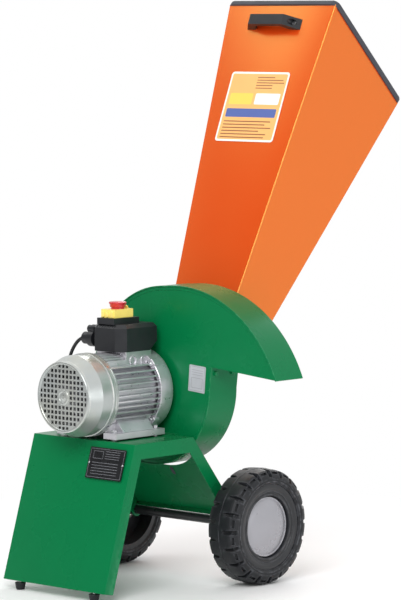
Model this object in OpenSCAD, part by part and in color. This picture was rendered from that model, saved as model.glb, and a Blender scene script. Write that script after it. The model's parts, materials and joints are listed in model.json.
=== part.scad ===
// Electric garden shredder on a folded sheet stand with two wheels.
// Machine axes: X to the right along the axle, Y from the motor fan towards the hopper, Z up.
// The machine is drawn about the shelf's rear edge and then set over the origin by place().

/* [Stand] */
// Width of the folded stand
stand_w = 300; // [280:1:340]
// Sheet thickness of the stand
stand_t = 3; // [2:0.5:4]
// Height of the motor shelf above the floor
shelf_h = 328; // [315:1:345]
// Depth of the motor shelf, front to back
shelf_d = 184; // [180:1:200]
// Depth of the shelf's turned-down side flanges
shelf_flange = 36; // [30:1:40]
// Depth of the legs' side flanges
leg_flange = 31; // [28:1:36]
// Lean of the front leg from upright, degrees
front_lean = 17.2; // [12:0.2:20]
// Lean of the rear leg from upright, degrees
rear_lean = 37.5; // [35:0.5:40]
// Height of the rubber feet
foot_h = 15; // [12:1:20]
// Largest diameter of a rubber foot
foot_d = 24; // [20:1:28]
// Distance between the two feet
foot_spacing = 220; // [180:1:240]

/* [Wheels] */
// Outside diameter of the tyres
wheel_d = 250; // [240:1:260]
// Width of a tyre
tyre_w = 80; // [70:1:84]
// Gap between the stand's side and each tyre
wheel_gap = 20; // [14:1:30]
// Diameter of the axle bar
axle_d = 20; // [16:1:24]
// Number of lug blocks on each shoulder
lugs = 20; // [18:1:28]
// Depth of the gaps between the lug blocks
lug_depth = 9; // [6:0.5:11]
// Diameter of the rim where the tyre seats
rim_d = 176; // [170:1:182]
// Diameter of the hubcap
hubcap_d = 128; // [110:1:132]

/* [Motor] */
// Height of the shaft above the feet
shaft_h = 90; // [90:1:94]
// Distance between the foot holes across the motor
foot_hole_x = 140; // [130:1:150]
// Distance between the foot holes along the motor
foot_hole_y = 125; // [110:1:130]
// Diameter of the foot bolts
foot_bolt_d = 8; // [6:1:9]
// Radius over the cooling fins
fin_r = 86; // [84:0.5:88]
// Radius of the body under the fins
body_r = 74; // [73:0.5:76]
// Number of cooling fins on each side
fins = 11; // [7:2:13]
// Thickness of a fin
fin_t = 3; // [2:0.5:4]
// Length of the finned body
body_len = 146; // [140:1:150]
// Length of the fan cowl
cowl_len = 78; // [74:1:86]
// Radius of the fan cowl
cowl_r = 87; // [87:0.5:90]
// Sheet thickness of the fan cowl
cowl_t = 1.5; // [1:0.5:2]
// Diameter of the motor shaft
shaft_d = 24; // [22:1:25]

/* [Switch box] */
// Height of the box
box_h = 58; // [50:1:66]
// Width of the box
box_w = 96; // [92:1:100]
// Length of the box
box_len = 117; // [112:1:120]
// Wall of the box
box_t = 3; // [2:0.5:4]
// Chamfer of the box's front corners
box_chamfer = 18; // [14:1:22]
// Diameter of the stop knob
knob_d = 38; // [34:1:40]
// Travel of the stop knob
knob_travel = 3; // [2:0.5:3]
// Travel of the start button
button_travel = 2.5; // [1.5:0.5:3]

/* [Casing] */
// Radius of the round lower part of the casing
drum_r = 173; // [170:1:178]
// Radius of the discharge hood's arc
hood_r = 304; // [298:1:310]
// Inside depth of the casing, plate to plate
casing_d = 78; // [74:1:84]
// Thickness of the casing plates and wall
casing_t = 3; // [2:0.5:4]
// How far the wall stands proud of the front plate
casing_lip = 3; // [1:0.5:5]
// Radius of the cutter disc
disc_r = 146; // [140:1:148]
// Thickness of the cutter disc
disc_t = 10; // [8:1:12]
// Number of knives on the disc
knives = 2; // [2:1:3]

/* [Hopper] */
// Sideways offset of the hopper from the motor's axis
hopper_x = 80; // [76:1:84]
// Width of the hopper's mouth
mouth_w = 308; // [300:1:320]
// Height of the mouth's front edge
mouth_front_z = 1244.5; // [1200:0.5:1260]
// Distance from the shelf to the mouth's front edge
mouth_front_y = 363; // [355:1:370]
// Height of the mouth's back edge
mouth_back_z = 1027; // [1010:1:1050]
// Distance from the shelf to the mouth's back edge
mouth_back_y = 580; // [570:1:590]
// Width of the front panel where it meets the casing
root_w = 176; // [170:1:182]
// Lean of the front panel from upright, degrees
hopper_front_lean = 21.9; // [21.5:0.1:22.5]
// Lean of the back panel from upright, degrees
hopper_back_lean = 37.2; // [36.5:0.1:38]
// Sheet thickness of the hopper
hopper_t = 2; // [1.5:0.5:3]
// Width of the rubber edge trim
trim_w = 12; // [8:1:14]
// Length of the bridge handle over its feet
handle_len = 154; // [144:1:160]
// Length of the handle's grip
grip_len = 96; // [88:1:104]
// Height of the handle's grip above the panel
handle_h = 34; // [32:1:40]

/* [Hidden] */
$fn = 64;
// Gaps: running fits, loose fits, and the overlap used when cutting.
run_gap = 0.05;
clear = 0.4;
cut = 1;
// How far two welded parts of one piece run into each other.
weld = 0.5;

// Stand: corners of the side flanges in the Y-Z plane.
front_y = -shelf_d - (shelf_h - foot_h) * tan(front_lean);
front_in_s = (shelf_flange - leg_flange * sin(front_lean)) / cos(front_lean);
front_in_y = -shelf_d + leg_flange * cos(front_lean) - front_in_s * sin(front_lean);
rear_in_s = (shelf_flange - leg_flange * sin(rear_lean)) / cos(rear_lean);
rear_in_y = -leg_flange * cos(rear_lean) + rear_in_s * sin(rear_lean);
flange_in_z = shelf_h - shelf_flange;
axle_z = wheel_d / 2;
axle_inset = leg_flange / 2;
axle_along = (shelf_h - axle_z - axle_inset * sin(rear_lean)) / cos(rear_lean);
axle_y = axle_along * sin(rear_lean) - axle_inset * cos(rear_lean);
rear_panel_end = axle_along - axle_d / 2 - 6;
foot_lip = 30;
foot_y = front_y + foot_lip / 2 + 2;
foot_screw_d = 6;
angle_half = 95;
angle_len = 28;
angle_drop = 34;
plate_x = 30;
plate_down = 17;
plate_w = 104;
plate_h = 67;
plate_t = 1;

// Wheels, on the axle.
wheel_x = stand_w / 2 + wheel_gap + tyre_w / 2;
hub_in = tyre_w / 2 - 6;
hub_out = 2;
bush_r = axle_d / 2 + 5;
bush_flange = 3;
washer_t = 2.5;
clip_t = 1.8;
end_gap = 0.3;
clip_x = wheel_x + hub_out + bush_flange + end_gap + washer_t;
axle_end = clip_x + clip_t + 4;
hub_r = bush_r + 8;
seat_gap = 0.1;
rim_half = tyre_w / 2 - 8;
tyre_wall = 9;
hubcap_x = 16;
hubcap_t = 2.5;

// Motor, standing on the shelf with its shaft along Y.
shaft_z = shelf_h + shaft_h;
body_y1 = -19;
body_y0 = body_y1 - body_len;
foot_back = 80;
foot_mid_y = body_y1 - foot_back;
shield_len = 22;
shield_r = fin_r + 3;
stator_r = body_r - 8;
rotor_r = 42;
air_gap = 0.5;
bearing_r = 26;
bearing_w = 15;
drive_bearing_y = body_y1 + 2;
fan_bearing_y = body_y0 - bearing_w + 2;
fan_shield_len = 16;
cowl_face_y = body_y0 - cowl_len;
shaft_y0 = cowl_face_y + 16;
fan_y0 = shaft_y0 + 3;
fan_y1 = body_y0 - fan_shield_len - 4;
term_w = 87;
term_len = 79;
term_y = body_y1 - term_len / 2;
term_h = 88;
term_top = shaft_z + term_h;
term_foot = 50;
term_t = 7;
knockout_r = 9;
knockout_h = 68;
knockout_y = 17;

// Switch box on the motor's terminal base.
box_y = term_y;
box_z = term_top;
box_top = box_z + box_h;
box_bevel = 8;
switch_w = 50;
switch_len = 78;
switch_base_h = 13;
switch_y = box_y - box_len / 2 + switch_len / 2 + 2;
flap_w = 40;
flap_len = 57;
flap_h = 18;
flap_y0 = switch_y - flap_len / 2 - 3;
flap_y1 = flap_y0 + flap_len;
switch_z = box_top + switch_base_h;
hinge_y = flap_y1 + 4;
hinge_z = switch_z + 9;
hinge_pin_r = 2;
knob_y = flap_y0 + 30;
flap_z0 = switch_z + clear;
flap_z1 = flap_z0 + flap_h;
flap_t = 2;
button_w = 12;
button_y = flap_y0 + 11;
button_top = switch_z + 6;
insert_y0 = flap_y0 + 3;
insert_y1 = flap_y0 + 38;
insert_w = 28;
insert_drop = 12;
gland_y = box_y - 34.5;
gland_z = box_z + 23;
gland_pitch = 20.5;
gland_len = 40;
gland_in = box_t + 5;
gland_r = 8;
plug_gland_len = 24;
plug_gland_r = 5;
cord_d = 7.5;

// Casing, hung behind the shelf on the motor's axis.
casing_y = 14;
casing_y1 = casing_y + 2 * casing_t + casing_d;
casing_x = 12;
casing_z = shaft_z + 7;
shoulder_x = casing_x + 44;
shoulder_r = drum_r + 44;
hood_shift = 37;
hood_x = shoulder_x + hood_shift;
hood_z = casing_z + shoulder_r - sqrt(hood_r * hood_r - hood_shift * hood_shift);
drum_flare = 6;
mouth_x0 = casing_x + drum_r + drum_flare;
mouth_up = 50;
mouth_z0 = casing_z + mouth_up;
bolt_down = 14;
mouth_drop = 16;
mouth_z1 = mouth_z0 - mouth_drop;
mouth_x1 = hood_x + sqrt(hood_r * hood_r - (mouth_z1 - hood_z) * (mouth_z1 - hood_z));
knife_t = 4;
anvil_t = 6;
knife_gap = 1;
disc_y1 = casing_y1 - casing_t - anvil_t - knife_t - knife_gap;
disc_y0 = disc_y1 - disc_t;
hub_y0 = casing_y + casing_t + 5;
hub_y1 = disc_y0;
throat_x0 = 14;
throat_x1 = 106;
throat_low = 24;
throat_high = 96;
throat_z0 = shaft_z + throat_low;
throat_z1 = shaft_z + throat_high;

// Hopper: the sheet planes, half width as a function of place.
hopper_flange_t = 3;
root_y = casing_y1 + hopper_flange_t;
root_z = mouth_front_z - (mouth_front_y - root_y) / tan(hopper_front_lean);
floor_d = 66;
floor_y = root_y + floor_d;
floor_z = mouth_back_z - (mouth_back_y - floor_y) / tan(hopper_back_lean);
floor_root_z = throat_z0 - 2;
trim_out = 4;
trim_h = 10;
mouth_len = norm([mouth_back_y - mouth_front_y, mouth_front_z - mouth_back_z]);
mouth_dy = (mouth_back_y - mouth_front_y) / mouth_len;
mouth_dz = (mouth_back_z - mouth_front_z) / mouth_len;
taper = (mouth_w - root_w) / 2
    / (-mouth_dz * (mouth_front_y - root_y) + mouth_dy * (mouth_front_z - root_z));
function half_w(y, z) = mouth_w / 2
    + taper * (-mouth_dz * (y - mouth_front_y) + mouth_dy * (z - mouth_front_z));

// The finished machine's box, without the cord, and so the place of the origin.
x_low = -wheel_x - tyre_w / 2;
x_high = mouth_x1;
y_low = front_y;
y_high = mouth_back_y + trim_out * mouth_dy - trim_h * mouth_dz;
origin_x = (x_low + x_high) / 2;
origin_y = (y_low + y_high) / 2;

// Shared shapes.
module place() translate([-origin_x, -origin_y, 0]) children();
module along_x(x0, x1) translate([x0, 0, 0]) rotate([90, 0, 90]) linear_extrude(x1 - x0) children();
module along_y(y0, y1) translate([0, y1, 0]) rotate([90, 0, 0]) linear_extrude(y1 - y0) children();
module rod_y(x, z, r, y0, y1) translate([x, y1, z]) rotate([90, 0, 0]) cylinder(r = r, h = y1 - y0);
module rod_x(y, z, r, x0, x1) translate([x0, y, z]) rotate([0, 90, 0]) cylinder(r = r, h = x1 - x0);
module turned_y(x, z) translate([x, 0, z]) rotate([-90, 0, 0]) rotate_extrude() children();
module turned_x(y, z) translate([0, y, z]) rotate([0, 90, 0]) rotate_extrude() children();
module hex_y(x, z, across, y0, y1)
    translate([x, y1, z]) rotate([90, 0, 0]) cylinder(d = across / cos(30), h = y1 - y0, $fn = 6);
module hex_z(x, y, across, z0, z1)
    translate([x, y, z0]) cylinder(d = across / cos(30), h = z1 - z0, $fn = 6);
module block(x0, x1, y0, y1, z0, z1) translate([x0, y0, z0]) cube([x1 - x0, y1 - y0, z1 - z0]);
module both_sides() {
    children();
    mirror([1, 0, 0]) children();
}

// Stand.
green = "#0f7846";
module flanges(points) both_sides() along_x(stand_w / 2 - stand_t, stand_w / 2) polygon(points);
module panel_strip(points) along_x(-stand_w / 2 + stand_t, stand_w / 2 - stand_t) polygon(points);
module front_leg() color(green) {
    skin = stand_t / cos(front_lean);
    top_z = shelf_h - stand_t;
    top_y = -shelf_d - stand_t * tan(front_lean);
    flanges([[-shelf_d, shelf_h], [front_in_y, flange_in_z],
        [front_y + leg_flange / cos(front_lean), foot_h], [front_y, foot_h]]);
    difference() {
        panel_strip([[top_y, top_z], [top_y + skin, top_z],
            [front_y + skin + stand_t * tan(front_lean), foot_h + stand_t],
            [front_y + foot_lip, foot_h + stand_t], [front_y + foot_lip, foot_h], [front_y, foot_h]]);
        both_sides() translate([foot_spacing / 2, foot_y, foot_h - cut])
            cylinder(d = foot_screw_d + clear, h = stand_t + 2 * cut);
    }
}
module motor_shelf() color(green) {
    flanges([[-shelf_d, shelf_h], [0, shelf_h], [rear_in_y, flange_in_z], [front_in_y, flange_in_z]]);
    difference() {
        panel_strip([[-shelf_d, shelf_h], [0, shelf_h], [stand_t * tan(rear_lean), shelf_h - stand_t],
            [-shelf_d - stand_t * tan(front_lean), shelf_h - stand_t]]);
        foot_holes(foot_bolt_d / 2 + clear, shelf_h - stand_t - cut, shelf_h + cut);
    }
    block(-angle_half, angle_half, -angle_len, casing_y, shelf_h - 2 * stand_t, shelf_h - stand_t + weld);
    block(-angle_half, angle_half, casing_y - stand_t, casing_y, shelf_h - angle_drop,
        shelf_h - 2 * stand_t + weld);
}
module rear_leg() color(green) {
    skin = stand_t / cos(rear_lean);
    top_z = shelf_h - stand_t;
    end_z = shelf_h - rear_panel_end * cos(rear_lean);
    end_y = rear_panel_end * sin(rear_lean);
    both_sides() along_x(stand_w / 2 - stand_t, stand_w / 2) difference() {
        union() {
            polygon([[0, shelf_h], [rear_in_y, flange_in_z],
                [axle_y - axle_inset * cos(rear_lean), axle_z - axle_inset * sin(rear_lean)],
                [axle_y + axle_inset * cos(rear_lean), axle_z + axle_inset * sin(rear_lean)]]);
            translate([axle_y, axle_z]) circle(axle_inset);
        }
        translate([axle_y, axle_z]) circle(axle_d / 2 + run_gap);
    }
    difference() {
        panel_strip([[stand_t * tan(rear_lean), top_z], [stand_t * tan(rear_lean) - skin, top_z],
            [end_y - skin, end_z], [end_y, end_z]]);
        rod_y(casing_x, casing_z, drum_r + 8, -shelf_d, shelf_d);
    }
}
module rubber_feet() color("#202020") both_sides() difference() {
    translate([foot_spacing / 2, foot_y, 0]) rotate_extrude()
        polygon([[0, 0], [foot_d / 2 - 3, 0], [foot_d / 2, foot_h], [0, foot_h]]);
    translate([foot_spacing / 2, foot_y, 6]) cylinder(d = foot_screw_d, h = foot_h);
}
module on_front_panel(x, down)
    translate([x, -shelf_d, shelf_h]) rotate([-front_lean, 0, 0]) translate([0, 0, -down]) children();
module rating_plate() color("#181818") on_front_panel(plate_x, plate_down + plate_h)
    block(0, plate_w, -plate_t, 0, 0, plate_h);

// Wheels and axle.
black = "#26282c";
module axle() color("#2c2e33") difference() {
    rod_x(axle_y, axle_z, axle_d / 2, -axle_end, axle_end);
    both_sides() turned_x(axle_y, axle_z) translate([axle_d / 2 - 1, clip_x]) square([2, clip_t]);
}
module ring_x(x0, x1, r0, r1) turned_x(axle_y, axle_z) translate([r0, x0]) square([r1 - r0, x1 - x0]);
module axle_spacers() color("#b0b3b8") both_sides()
    ring_x(stand_w / 2, wheel_x - hub_in - bush_flange - end_gap, axle_d / 2 + seat_gap, axle_d / 2 + 3);
module axle_retainers() color("#c0c3c8") both_sides() {
    ring_x(clip_x - washer_t, clip_x - seat_gap, axle_d / 2 + seat_gap, axle_d / 2 + 8);
    ring_x(clip_x, clip_x + clip_t, axle_d / 2 - 1, axle_d / 2 + 5);
}
module wheel_bush() color("#d8d4c8") {
    bore_r = axle_d / 2 + run_gap;
    ring_x(wheel_x - hub_in, wheel_x + hub_out, bore_r, bush_r);
    ring_x(wheel_x + hub_out, wheel_x + hub_out + bush_flange, bore_r, bush_r + bush_flange);
    ring_x(wheel_x - hub_in - bush_flange, wheel_x - hub_in, bore_r, bush_r + bush_flange);
}
module rim() color(black) translate([wheel_x, 0, 0]) {
    seat = rim_d / 2 - seat_gap;
    ring_x(-hub_in, hub_out, bush_r + seat_gap, hub_r);
    turned_x(axle_y, axle_z) polygon([
        [hub_r - 1, -6], [hub_r - 1, 0], [hubcap_d / 2 - 6, hubcap_x - 6], [hubcap_d / 2 + 3, hubcap_x - 6],
        [hubcap_d / 2 + 3, rim_half - 6], [seat - 5, rim_half], [seat - 5, rim_half + 4], [seat + 5,
            rim_half + 4],
        [seat + 5, rim_half + seat_gap], [seat, rim_half + seat_gap], [seat, -rim_half - seat_gap],
        [seat + 5, -rim_half - seat_gap], [seat + 5, -rim_half - 4], [seat - 6, -rim_half - 4],
        [seat - 6, hubcap_x - 16], [hubcap_d / 2 - 6, hubcap_x - 16]]);
}
module hubcap() color("#a9acb0") translate([wheel_x, 0, 0]) turned_x(axle_y, axle_z) polygon([
    [0, hubcap_x + 9], [16, hubcap_x + 9], [36, hubcap_x + 6.5], [52, hubcap_x + 2.5],
    [52, hubcap_x - 6 + seat_gap], [hubcap_d / 2, hubcap_x - 6 + seat_gap],
    [hubcap_d / 2, hubcap_x], [hubcap_d / 2 - 3, hubcap_x + 3],
    [54, hubcap_x + 5], [37, hubcap_x + 9], [17, hubcap_x + 9 + hubcap_t], [0, hubcap_x + 9 + hubcap_t]]);
module tyre() color("#303236") translate([wheel_x, 0, 0]) {
    r = wheel_d / 2;
    w = tyre_w / 2;
    bead = rim_d / 2;
    difference() {
        turned_x(axle_y, axle_z) polygon([
            [bead, rim_half], [bead + 7, rim_half], [bead + 12, w - 2], [bead + 20, w], [r - 13, w],
                [r - 7, w - 3],
            [r, w - 12], [r, -w + 12], [r - 7, -w + 3], [r - 13, -w], [bead + 20, -w], [bead + 12, -w + 2],
            [bead + 7, -rim_half], [bead, -rim_half], [bead, -rim_half + tyre_wall],
            [r - lug_depth - tyre_wall, -rim_half + tyre_wall], [r - lug_depth - tyre_wall,
                rim_half - tyre_wall],
            [bead, rim_half - tyre_wall]]);
        for (k = [0:lugs - 1], side = [-1, 1]) {
            turn = (k + (side > 0 ? 0.5 : 0)) * 360 / lugs;
            translate([0, axle_y, axle_z]) rotate([turn, 0, 0]) translate([side * w, 0, r])
                rotate([0, 0, side * 18]) cube([w, r * 0.08, 2 * lug_depth], center = true);
        }
    }
}
module tyre_right() tyre();
module rim_right() rim();
module hubcap_right() hubcap();
module bush_right() wheel_bush();
module tyre_left() mirror([1, 0, 0]) tyre();
module rim_left() mirror([1, 0, 0]) rim();
module hubcap_left() mirror([1, 0, 0]) hubcap();
module bush_left() mirror([1, 0, 0]) wheel_bush();

// Motor.
alu = "#9a9da1";
steel = "#b4b7bb";
module foot_holes(r, z0, z1) for (x = [-1, 1], y = [-1, 1])
    translate([x * foot_hole_x / 2, foot_mid_y + y * foot_hole_y / 2, z0]) cylinder(r = r, h = z1 - z0);
module ring_y(y0, y1, r0, r1) turned_y(0, shaft_z) translate([r0, y0]) square([r1 - r0, y1 - y0]);
foot_edge = 18;
foot_half = foot_hole_x / 2 + foot_edge;
foot_pad = 38;
leg_out = 42;
leg_in = 28;
leg_h = 40;
foot_end = 12;
foot_t = 13;
web_edge = 6;
web_t = 4;
web_in = 16;
foot_y0 = foot_mid_y - foot_hole_y / 2 - foot_end;
foot_y1 = foot_mid_y + foot_hole_y / 2 + foot_end;
web_y0 = foot_mid_y - foot_hole_y / 2 + web_in;
web_y1 = foot_mid_y + foot_hole_y / 2 - web_in;
screw_r = 2.5;
shield_boss = 19;
screw_ring_r = body_r - 4;
cowl_screw_in = 8;
module shield_screw_places() for (a = [45:90:315]) rotate([0, a, 0]) translate([0, 0,
    screw_ring_r]) children();
module motor_housing() color(alu) difference() {
    union() {
        translate([0, 0, shaft_z]) along_y(body_y0, body_y1) {
            circle(body_r);
            fin_pitch = 2 * body_r * 0.8 / (fins - 1);
            intersection() {
                circle(fin_r);
                for (k = [0:fins - 1]) translate([0, (k - (fins - 1) / 2) * fin_pitch])
                    square([2 * fin_r, fin_t], center = true);
            }
        }
        both_sides() {
            block(foot_half - foot_pad, foot_half, foot_y0, foot_y1, shelf_h, shelf_h + foot_t);
            block(foot_half - leg_out, foot_half - leg_in, body_y0, body_y1, shelf_h, shelf_h + leg_h);
            hull() {
                block(foot_half - leg_out, foot_half - leg_in, web_y0, web_y1, shelf_h + leg_h - web_t,
                    shelf_h + leg_h);
                block(foot_half - leg_out, foot_half - web_edge, web_y0, web_y1, shelf_h, shelf_h + foot_t);
            }
        }
        block(-term_w / 2, term_w / 2, term_y - term_len / 2, term_y + term_len / 2,
            shaft_z + term_foot, term_top);
    }
    rod_y(0, shaft_z, stator_r, body_y0 - cut, body_y1 + cut);
    block(-term_w / 2 + term_t, term_w / 2 - term_t, term_y - term_len / 2 + term_t,
        term_y + term_len / 2 - term_t,
        shaft_z + body_r + 3, term_top + cut);
    foot_holes(foot_bolt_d / 2 + clear, shelf_h - cut, shelf_h + foot_t + cut);
    for (y = [-knockout_y, knockout_y])
        rod_x(term_y + y, shaft_z + knockout_h, knockout_r, term_w / 2 - box_t / 2, term_w / 2 + cut);
    translate([0, 0, shaft_z]) shield_screw_places() rod_y(0, 0, screw_r, body_y1 - 12, body_y1 + cut);
}
module drive_shield() color(alu) difference() {
    union() {
        turned_y(0, shaft_z) polygon([
            [bearing_r, body_y1], [shield_r, body_y1], [shield_r, body_y1 + 9], [shield_r - 10, body_y1 + 16],
            [bearing_r + 14, body_y1 + shield_len], [shaft_d / 2 + 2, body_y1 + shield_len],
            [shaft_d / 2 + 2, drive_bearing_y + bearing_w], [bearing_r, drive_bearing_y + bearing_w]]);
        translate([0, 0, shaft_z]) for (a = [45:90:315]) rotate([0, a, 0])
            rod_y(0, screw_ring_r, 8, body_y1, body_y1 + shield_boss);
    }
    translate([0, 0, shaft_z]) shield_screw_places() rod_y(0, 0, screw_r + clear, body_y1 - cut,
        body_y1 + shield_len + cut);
    rod_y(0, shaft_z, bearing_r, body_y1 - cut, drive_bearing_y + bearing_w);
}
module motor_screws() color(steel) {
    translate([0, 0, shaft_z]) shield_screw_places() {
        rod_y(0, 0, screw_r, body_y1 - 11, body_y1 + shield_boss);
        hex_y(0, 0, 8, body_y1 + shield_boss, body_y1 + shield_boss + 4);
    }
    translate([0, body_y0 - cowl_screw_in, shaft_z]) for (a = [45:90:315]) rotate([0, a, 0])
        translate([0, 0, cowl_r]) cylinder(r = 4, h = 2.5);
}
module fan_shield() color(alu) turned_y(0, shaft_z) polygon([
    [bearing_r, body_y0], [cowl_r - cowl_t - seat_gap, body_y0], [cowl_r - cowl_t - seat_gap, body_y0 - 8],
    [bearing_r + 10, body_y0 - fan_shield_len], [shaft_d / 2 + 2, body_y0 - fan_shield_len],
    [shaft_d / 2 + 2, fan_bearing_y], [bearing_r, fan_bearing_y]]);
cowl_nose = 32;
cowl_face_r = cowl_r - 11;
vent = 7;
vent_pitch = 11;
vent_r = cowl_face_r - 9;
vent_boss_r = 17;
module fan_cowl() color("#c9c6b4") difference() {
    turned_y(0, shaft_z) polygon([
        [0, cowl_face_y], [cowl_face_r - 4, cowl_face_y], [cowl_face_r, cowl_face_y + 3],
        [cowl_r, cowl_face_y + cowl_nose], [cowl_r, cowl_face_y + cowl_len - 3],
        [cowl_r + 2, cowl_face_y + cowl_len - 3], [cowl_r + 2, cowl_face_y + cowl_len],
        [cowl_r - cowl_t, cowl_face_y + cowl_len], [cowl_r - cowl_t, cowl_face_y + cowl_nose],
        [cowl_face_r - cowl_t, cowl_face_y + 3 + cowl_t], [cowl_face_r - 4 - cowl_t, cowl_face_y + cowl_t],
        [0, cowl_face_y + cowl_t]]);
    n = floor(vent_r / vent_pitch);
    for (i = [-n:n], k = [-n:n]) {
        r = norm([i, k]) * vent_pitch;
        if (r < vent_r && r > vent_boss_r)
            translate([i * vent_pitch, cowl_face_y, shaft_z + k * vent_pitch])
                cube([vent, 4 * cowl_t, vent], center = true);
    }
}
blades = 7;
module cooling_fan() color("#3a3c40") {
    ring_y(fan_y0, fan_y1, shaft_d / 2 + seat_gap, shaft_d / 2 + 10);
    ring_y(fan_y1 - 3, fan_y1, shaft_d / 2 + 9, cowl_face_r - 10);
    for (k = [0:blades - 1]) translate([0, 0, shaft_z]) rotate([0, k * 360 / blades, 0])
        block(-1.2, 1.2, fan_y0, fan_y1 - 2, shaft_d / 2 + 9, cowl_face_r - 12);
}
core_inset = 26;
core_y0 = body_y0 + core_inset;
core_y1 = body_y1 - core_inset;
winding_len = 18;
winding_gap = 5;
end_ring = 8;
module stator_core() color("#5c5f64") ring_y(core_y0, core_y1, rotor_r + air_gap, stator_r - seat_gap);
module windings() color("#a5552a") {
    ring_y(core_y0 - winding_len, core_y0, rotor_r + winding_gap, stator_r - winding_gap);
    ring_y(core_y1, core_y1 + winding_len, rotor_r + winding_gap, stator_r - winding_gap);
}
module rotor_core() color("#74777c") {
    ring_y(core_y0, core_y1, shaft_d / 2 + seat_gap, rotor_r);
    ring_y(core_y0 - end_ring, core_y0, shaft_d / 2 + end_ring, rotor_r);
    ring_y(core_y1, core_y1 + end_ring, shaft_d / 2 + end_ring, rotor_r);
}
module motor_shaft() color(steel) rod_y(0, shaft_z, shaft_d / 2, shaft_y0, hub_y1 - 2);
module bearing(y) ring_y(y, y + bearing_w, shaft_d / 2 + run_gap, bearing_r - seat_gap);
module motor_bearings() color(steel) {
    bearing(drive_bearing_y);
    bearing(fan_bearing_y);
}
module stand_bolts() color(steel) {
    both_sides() translate([foot_spacing / 2, foot_y, 0]) {
        translate([0, 0, 6]) cylinder(d = foot_screw_d, h = foot_h + stand_t - 6);
        hex_z(0, 0, 10, foot_h + stand_t, foot_h + stand_t + 5);
    }
    for (x = [-1, 1], y = [-1, 1])
    translate([x * foot_hole_x / 2, foot_mid_y + y * foot_hole_y / 2, 0]) {
        translate([0, 0, shelf_h - stand_t - 9]) cylinder(d = foot_bolt_d, h = foot_t + stand_t + 9);
        hex_z(0, 0, 13, shelf_h + foot_t, shelf_h + foot_t + 6);
        hex_z(0, 0, 13, shelf_h - stand_t - 6.5, shelf_h - stand_t);
    }
}

// Switch box.
// Plan of the box: a rectangle with deep chamfers in front and small ones at the back, drawn in by an inset.
// The back end can be drawn in by a cut of its own.
box_corner = 6;
back_rise = 19;
back_cut = 22;
function box_plan(inset, back = 0) = let (w = box_w / 2 - inset, l = box_len / 2 - inset, e = l - back,
    c = box_corner - inset * (2 - sqrt(2)), f = box_chamfer - inset * (2 - sqrt(2)))
    [[-w + f, -l], [w - f, -l], [w, -l + f], [w, e - c], [w - c, e], [-w + c, e], [-w, e - c], [-w, -l + f]];
function at_height(plan, z) = [for (p = plan) [p[0], p[1], z]];
module switch_box() color(black) difference() {
    translate([0, box_y, box_z]) difference() {
        union() {
            slab(at_height(box_plan(0, back_cut), 0), at_height(box_plan(0), back_rise));
            translate([0, 0, back_rise]) linear_extrude(box_h - box_bevel - back_rise) polygon(box_plan(0));
            slab(at_height(box_plan(0), box_h - box_bevel), at_height(box_plan(box_bevel), box_h));
        }
        translate([0, 0, -cut]) linear_extrude(back_rise + box_t + 2 * cut)
            polygon(box_plan(box_t, back_cut));
        translate([0, 0, back_rise + box_t]) linear_extrude(box_h - box_bevel - back_rise - 2 * box_t)
            polygon(box_plan(box_t));
    }
    block(-insert_w / 2 - clear, insert_w / 2 + clear, insert_y0 - clear, insert_y1 + clear,
        box_top - 20, box_top + cut);
    rod_x(gland_y, gland_z, gland_r + seat_gap, -box_w / 2 - cut, -box_w / 2 + gland_in + cut);
    rod_x(gland_y, gland_z + gland_pitch, plug_gland_r + seat_gap, -box_w / 2 - cut,
        -box_w / 2 + gland_in + cut);
}
module capacitor() color("#c9c9c4") rod_x(box_y + 11, box_top - box_bevel - box_t - end_gap - 18, 18,
    -36, 36);
// One gland: its stem through the wall, its seat on the box, its cap and its tip.
module gland(z, stem_r, seat_r, seat_len, cap_r, cap_len, tip) {
    rod_x(gland_y, z, stem_r, -box_w / 2 - 2, -box_w / 2 + gland_in);
    translate([-box_w / 2, gland_y, z]) rotate([0, -90, 0]) {
        cylinder(r = seat_r, h = seat_len);
        translate([0, 0, seat_len]) cylinder(r = cap_r, h = cap_len);
        translate([0, 0, seat_len + cap_len]) cylinder(r1 = cap_r - 1.5, r2 = cap_r * 0.55,
            h = tip - seat_len - cap_len);
    }
}
module cable_glands() color(black) {
    gland(gland_z, gland_r, 17.5, 16, 13.2, 18, gland_len);
    gland(gland_z + gland_pitch, plug_gland_r, 9.5, 10, 8, 11, plug_gland_len);
}

// Switch with its hinged flap and knob.
yellow = "#f6cf4a";
red = "#c22d3a";
module button_well(y) block(-button_w / 2 - clear, button_w / 2 + clear, y - button_w / 2 - clear,
    y + button_w / 2 + clear, box_top - insert_drop + 2, switch_z + cut);
hinge_half = 8;
knuckle_r = 3.4;
ear_t = 4;
module switch_base() color(black) difference() {
    union() {
        block(-switch_w / 2, switch_w / 2, switch_y - switch_len / 2, switch_y + switch_len / 2,
            box_top, switch_z);
        block(-insert_w / 2, insert_w / 2, insert_y0, insert_y1, box_top - insert_drop, box_top);
        both_sides() {
            block(hinge_half + clear, hinge_half + clear + ear_t, hinge_y - knuckle_r, hinge_y + knuckle_r,
                switch_z, hinge_z);
            rod_x(hinge_y, hinge_z, knuckle_r, hinge_half + clear, hinge_half + clear + ear_t);
        }
    }
    button_well(button_y);
    button_well(knob_y);
    rod_x(hinge_y, hinge_z, hinge_pin_r, -hinge_half - 2 * ear_t, hinge_half + 2 * ear_t);
}
module hinge_pin() color(steel) rod_x(hinge_y, hinge_z, hinge_pin_r, -hinge_half - clear - ear_t,
    hinge_half + clear + ear_t);
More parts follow.
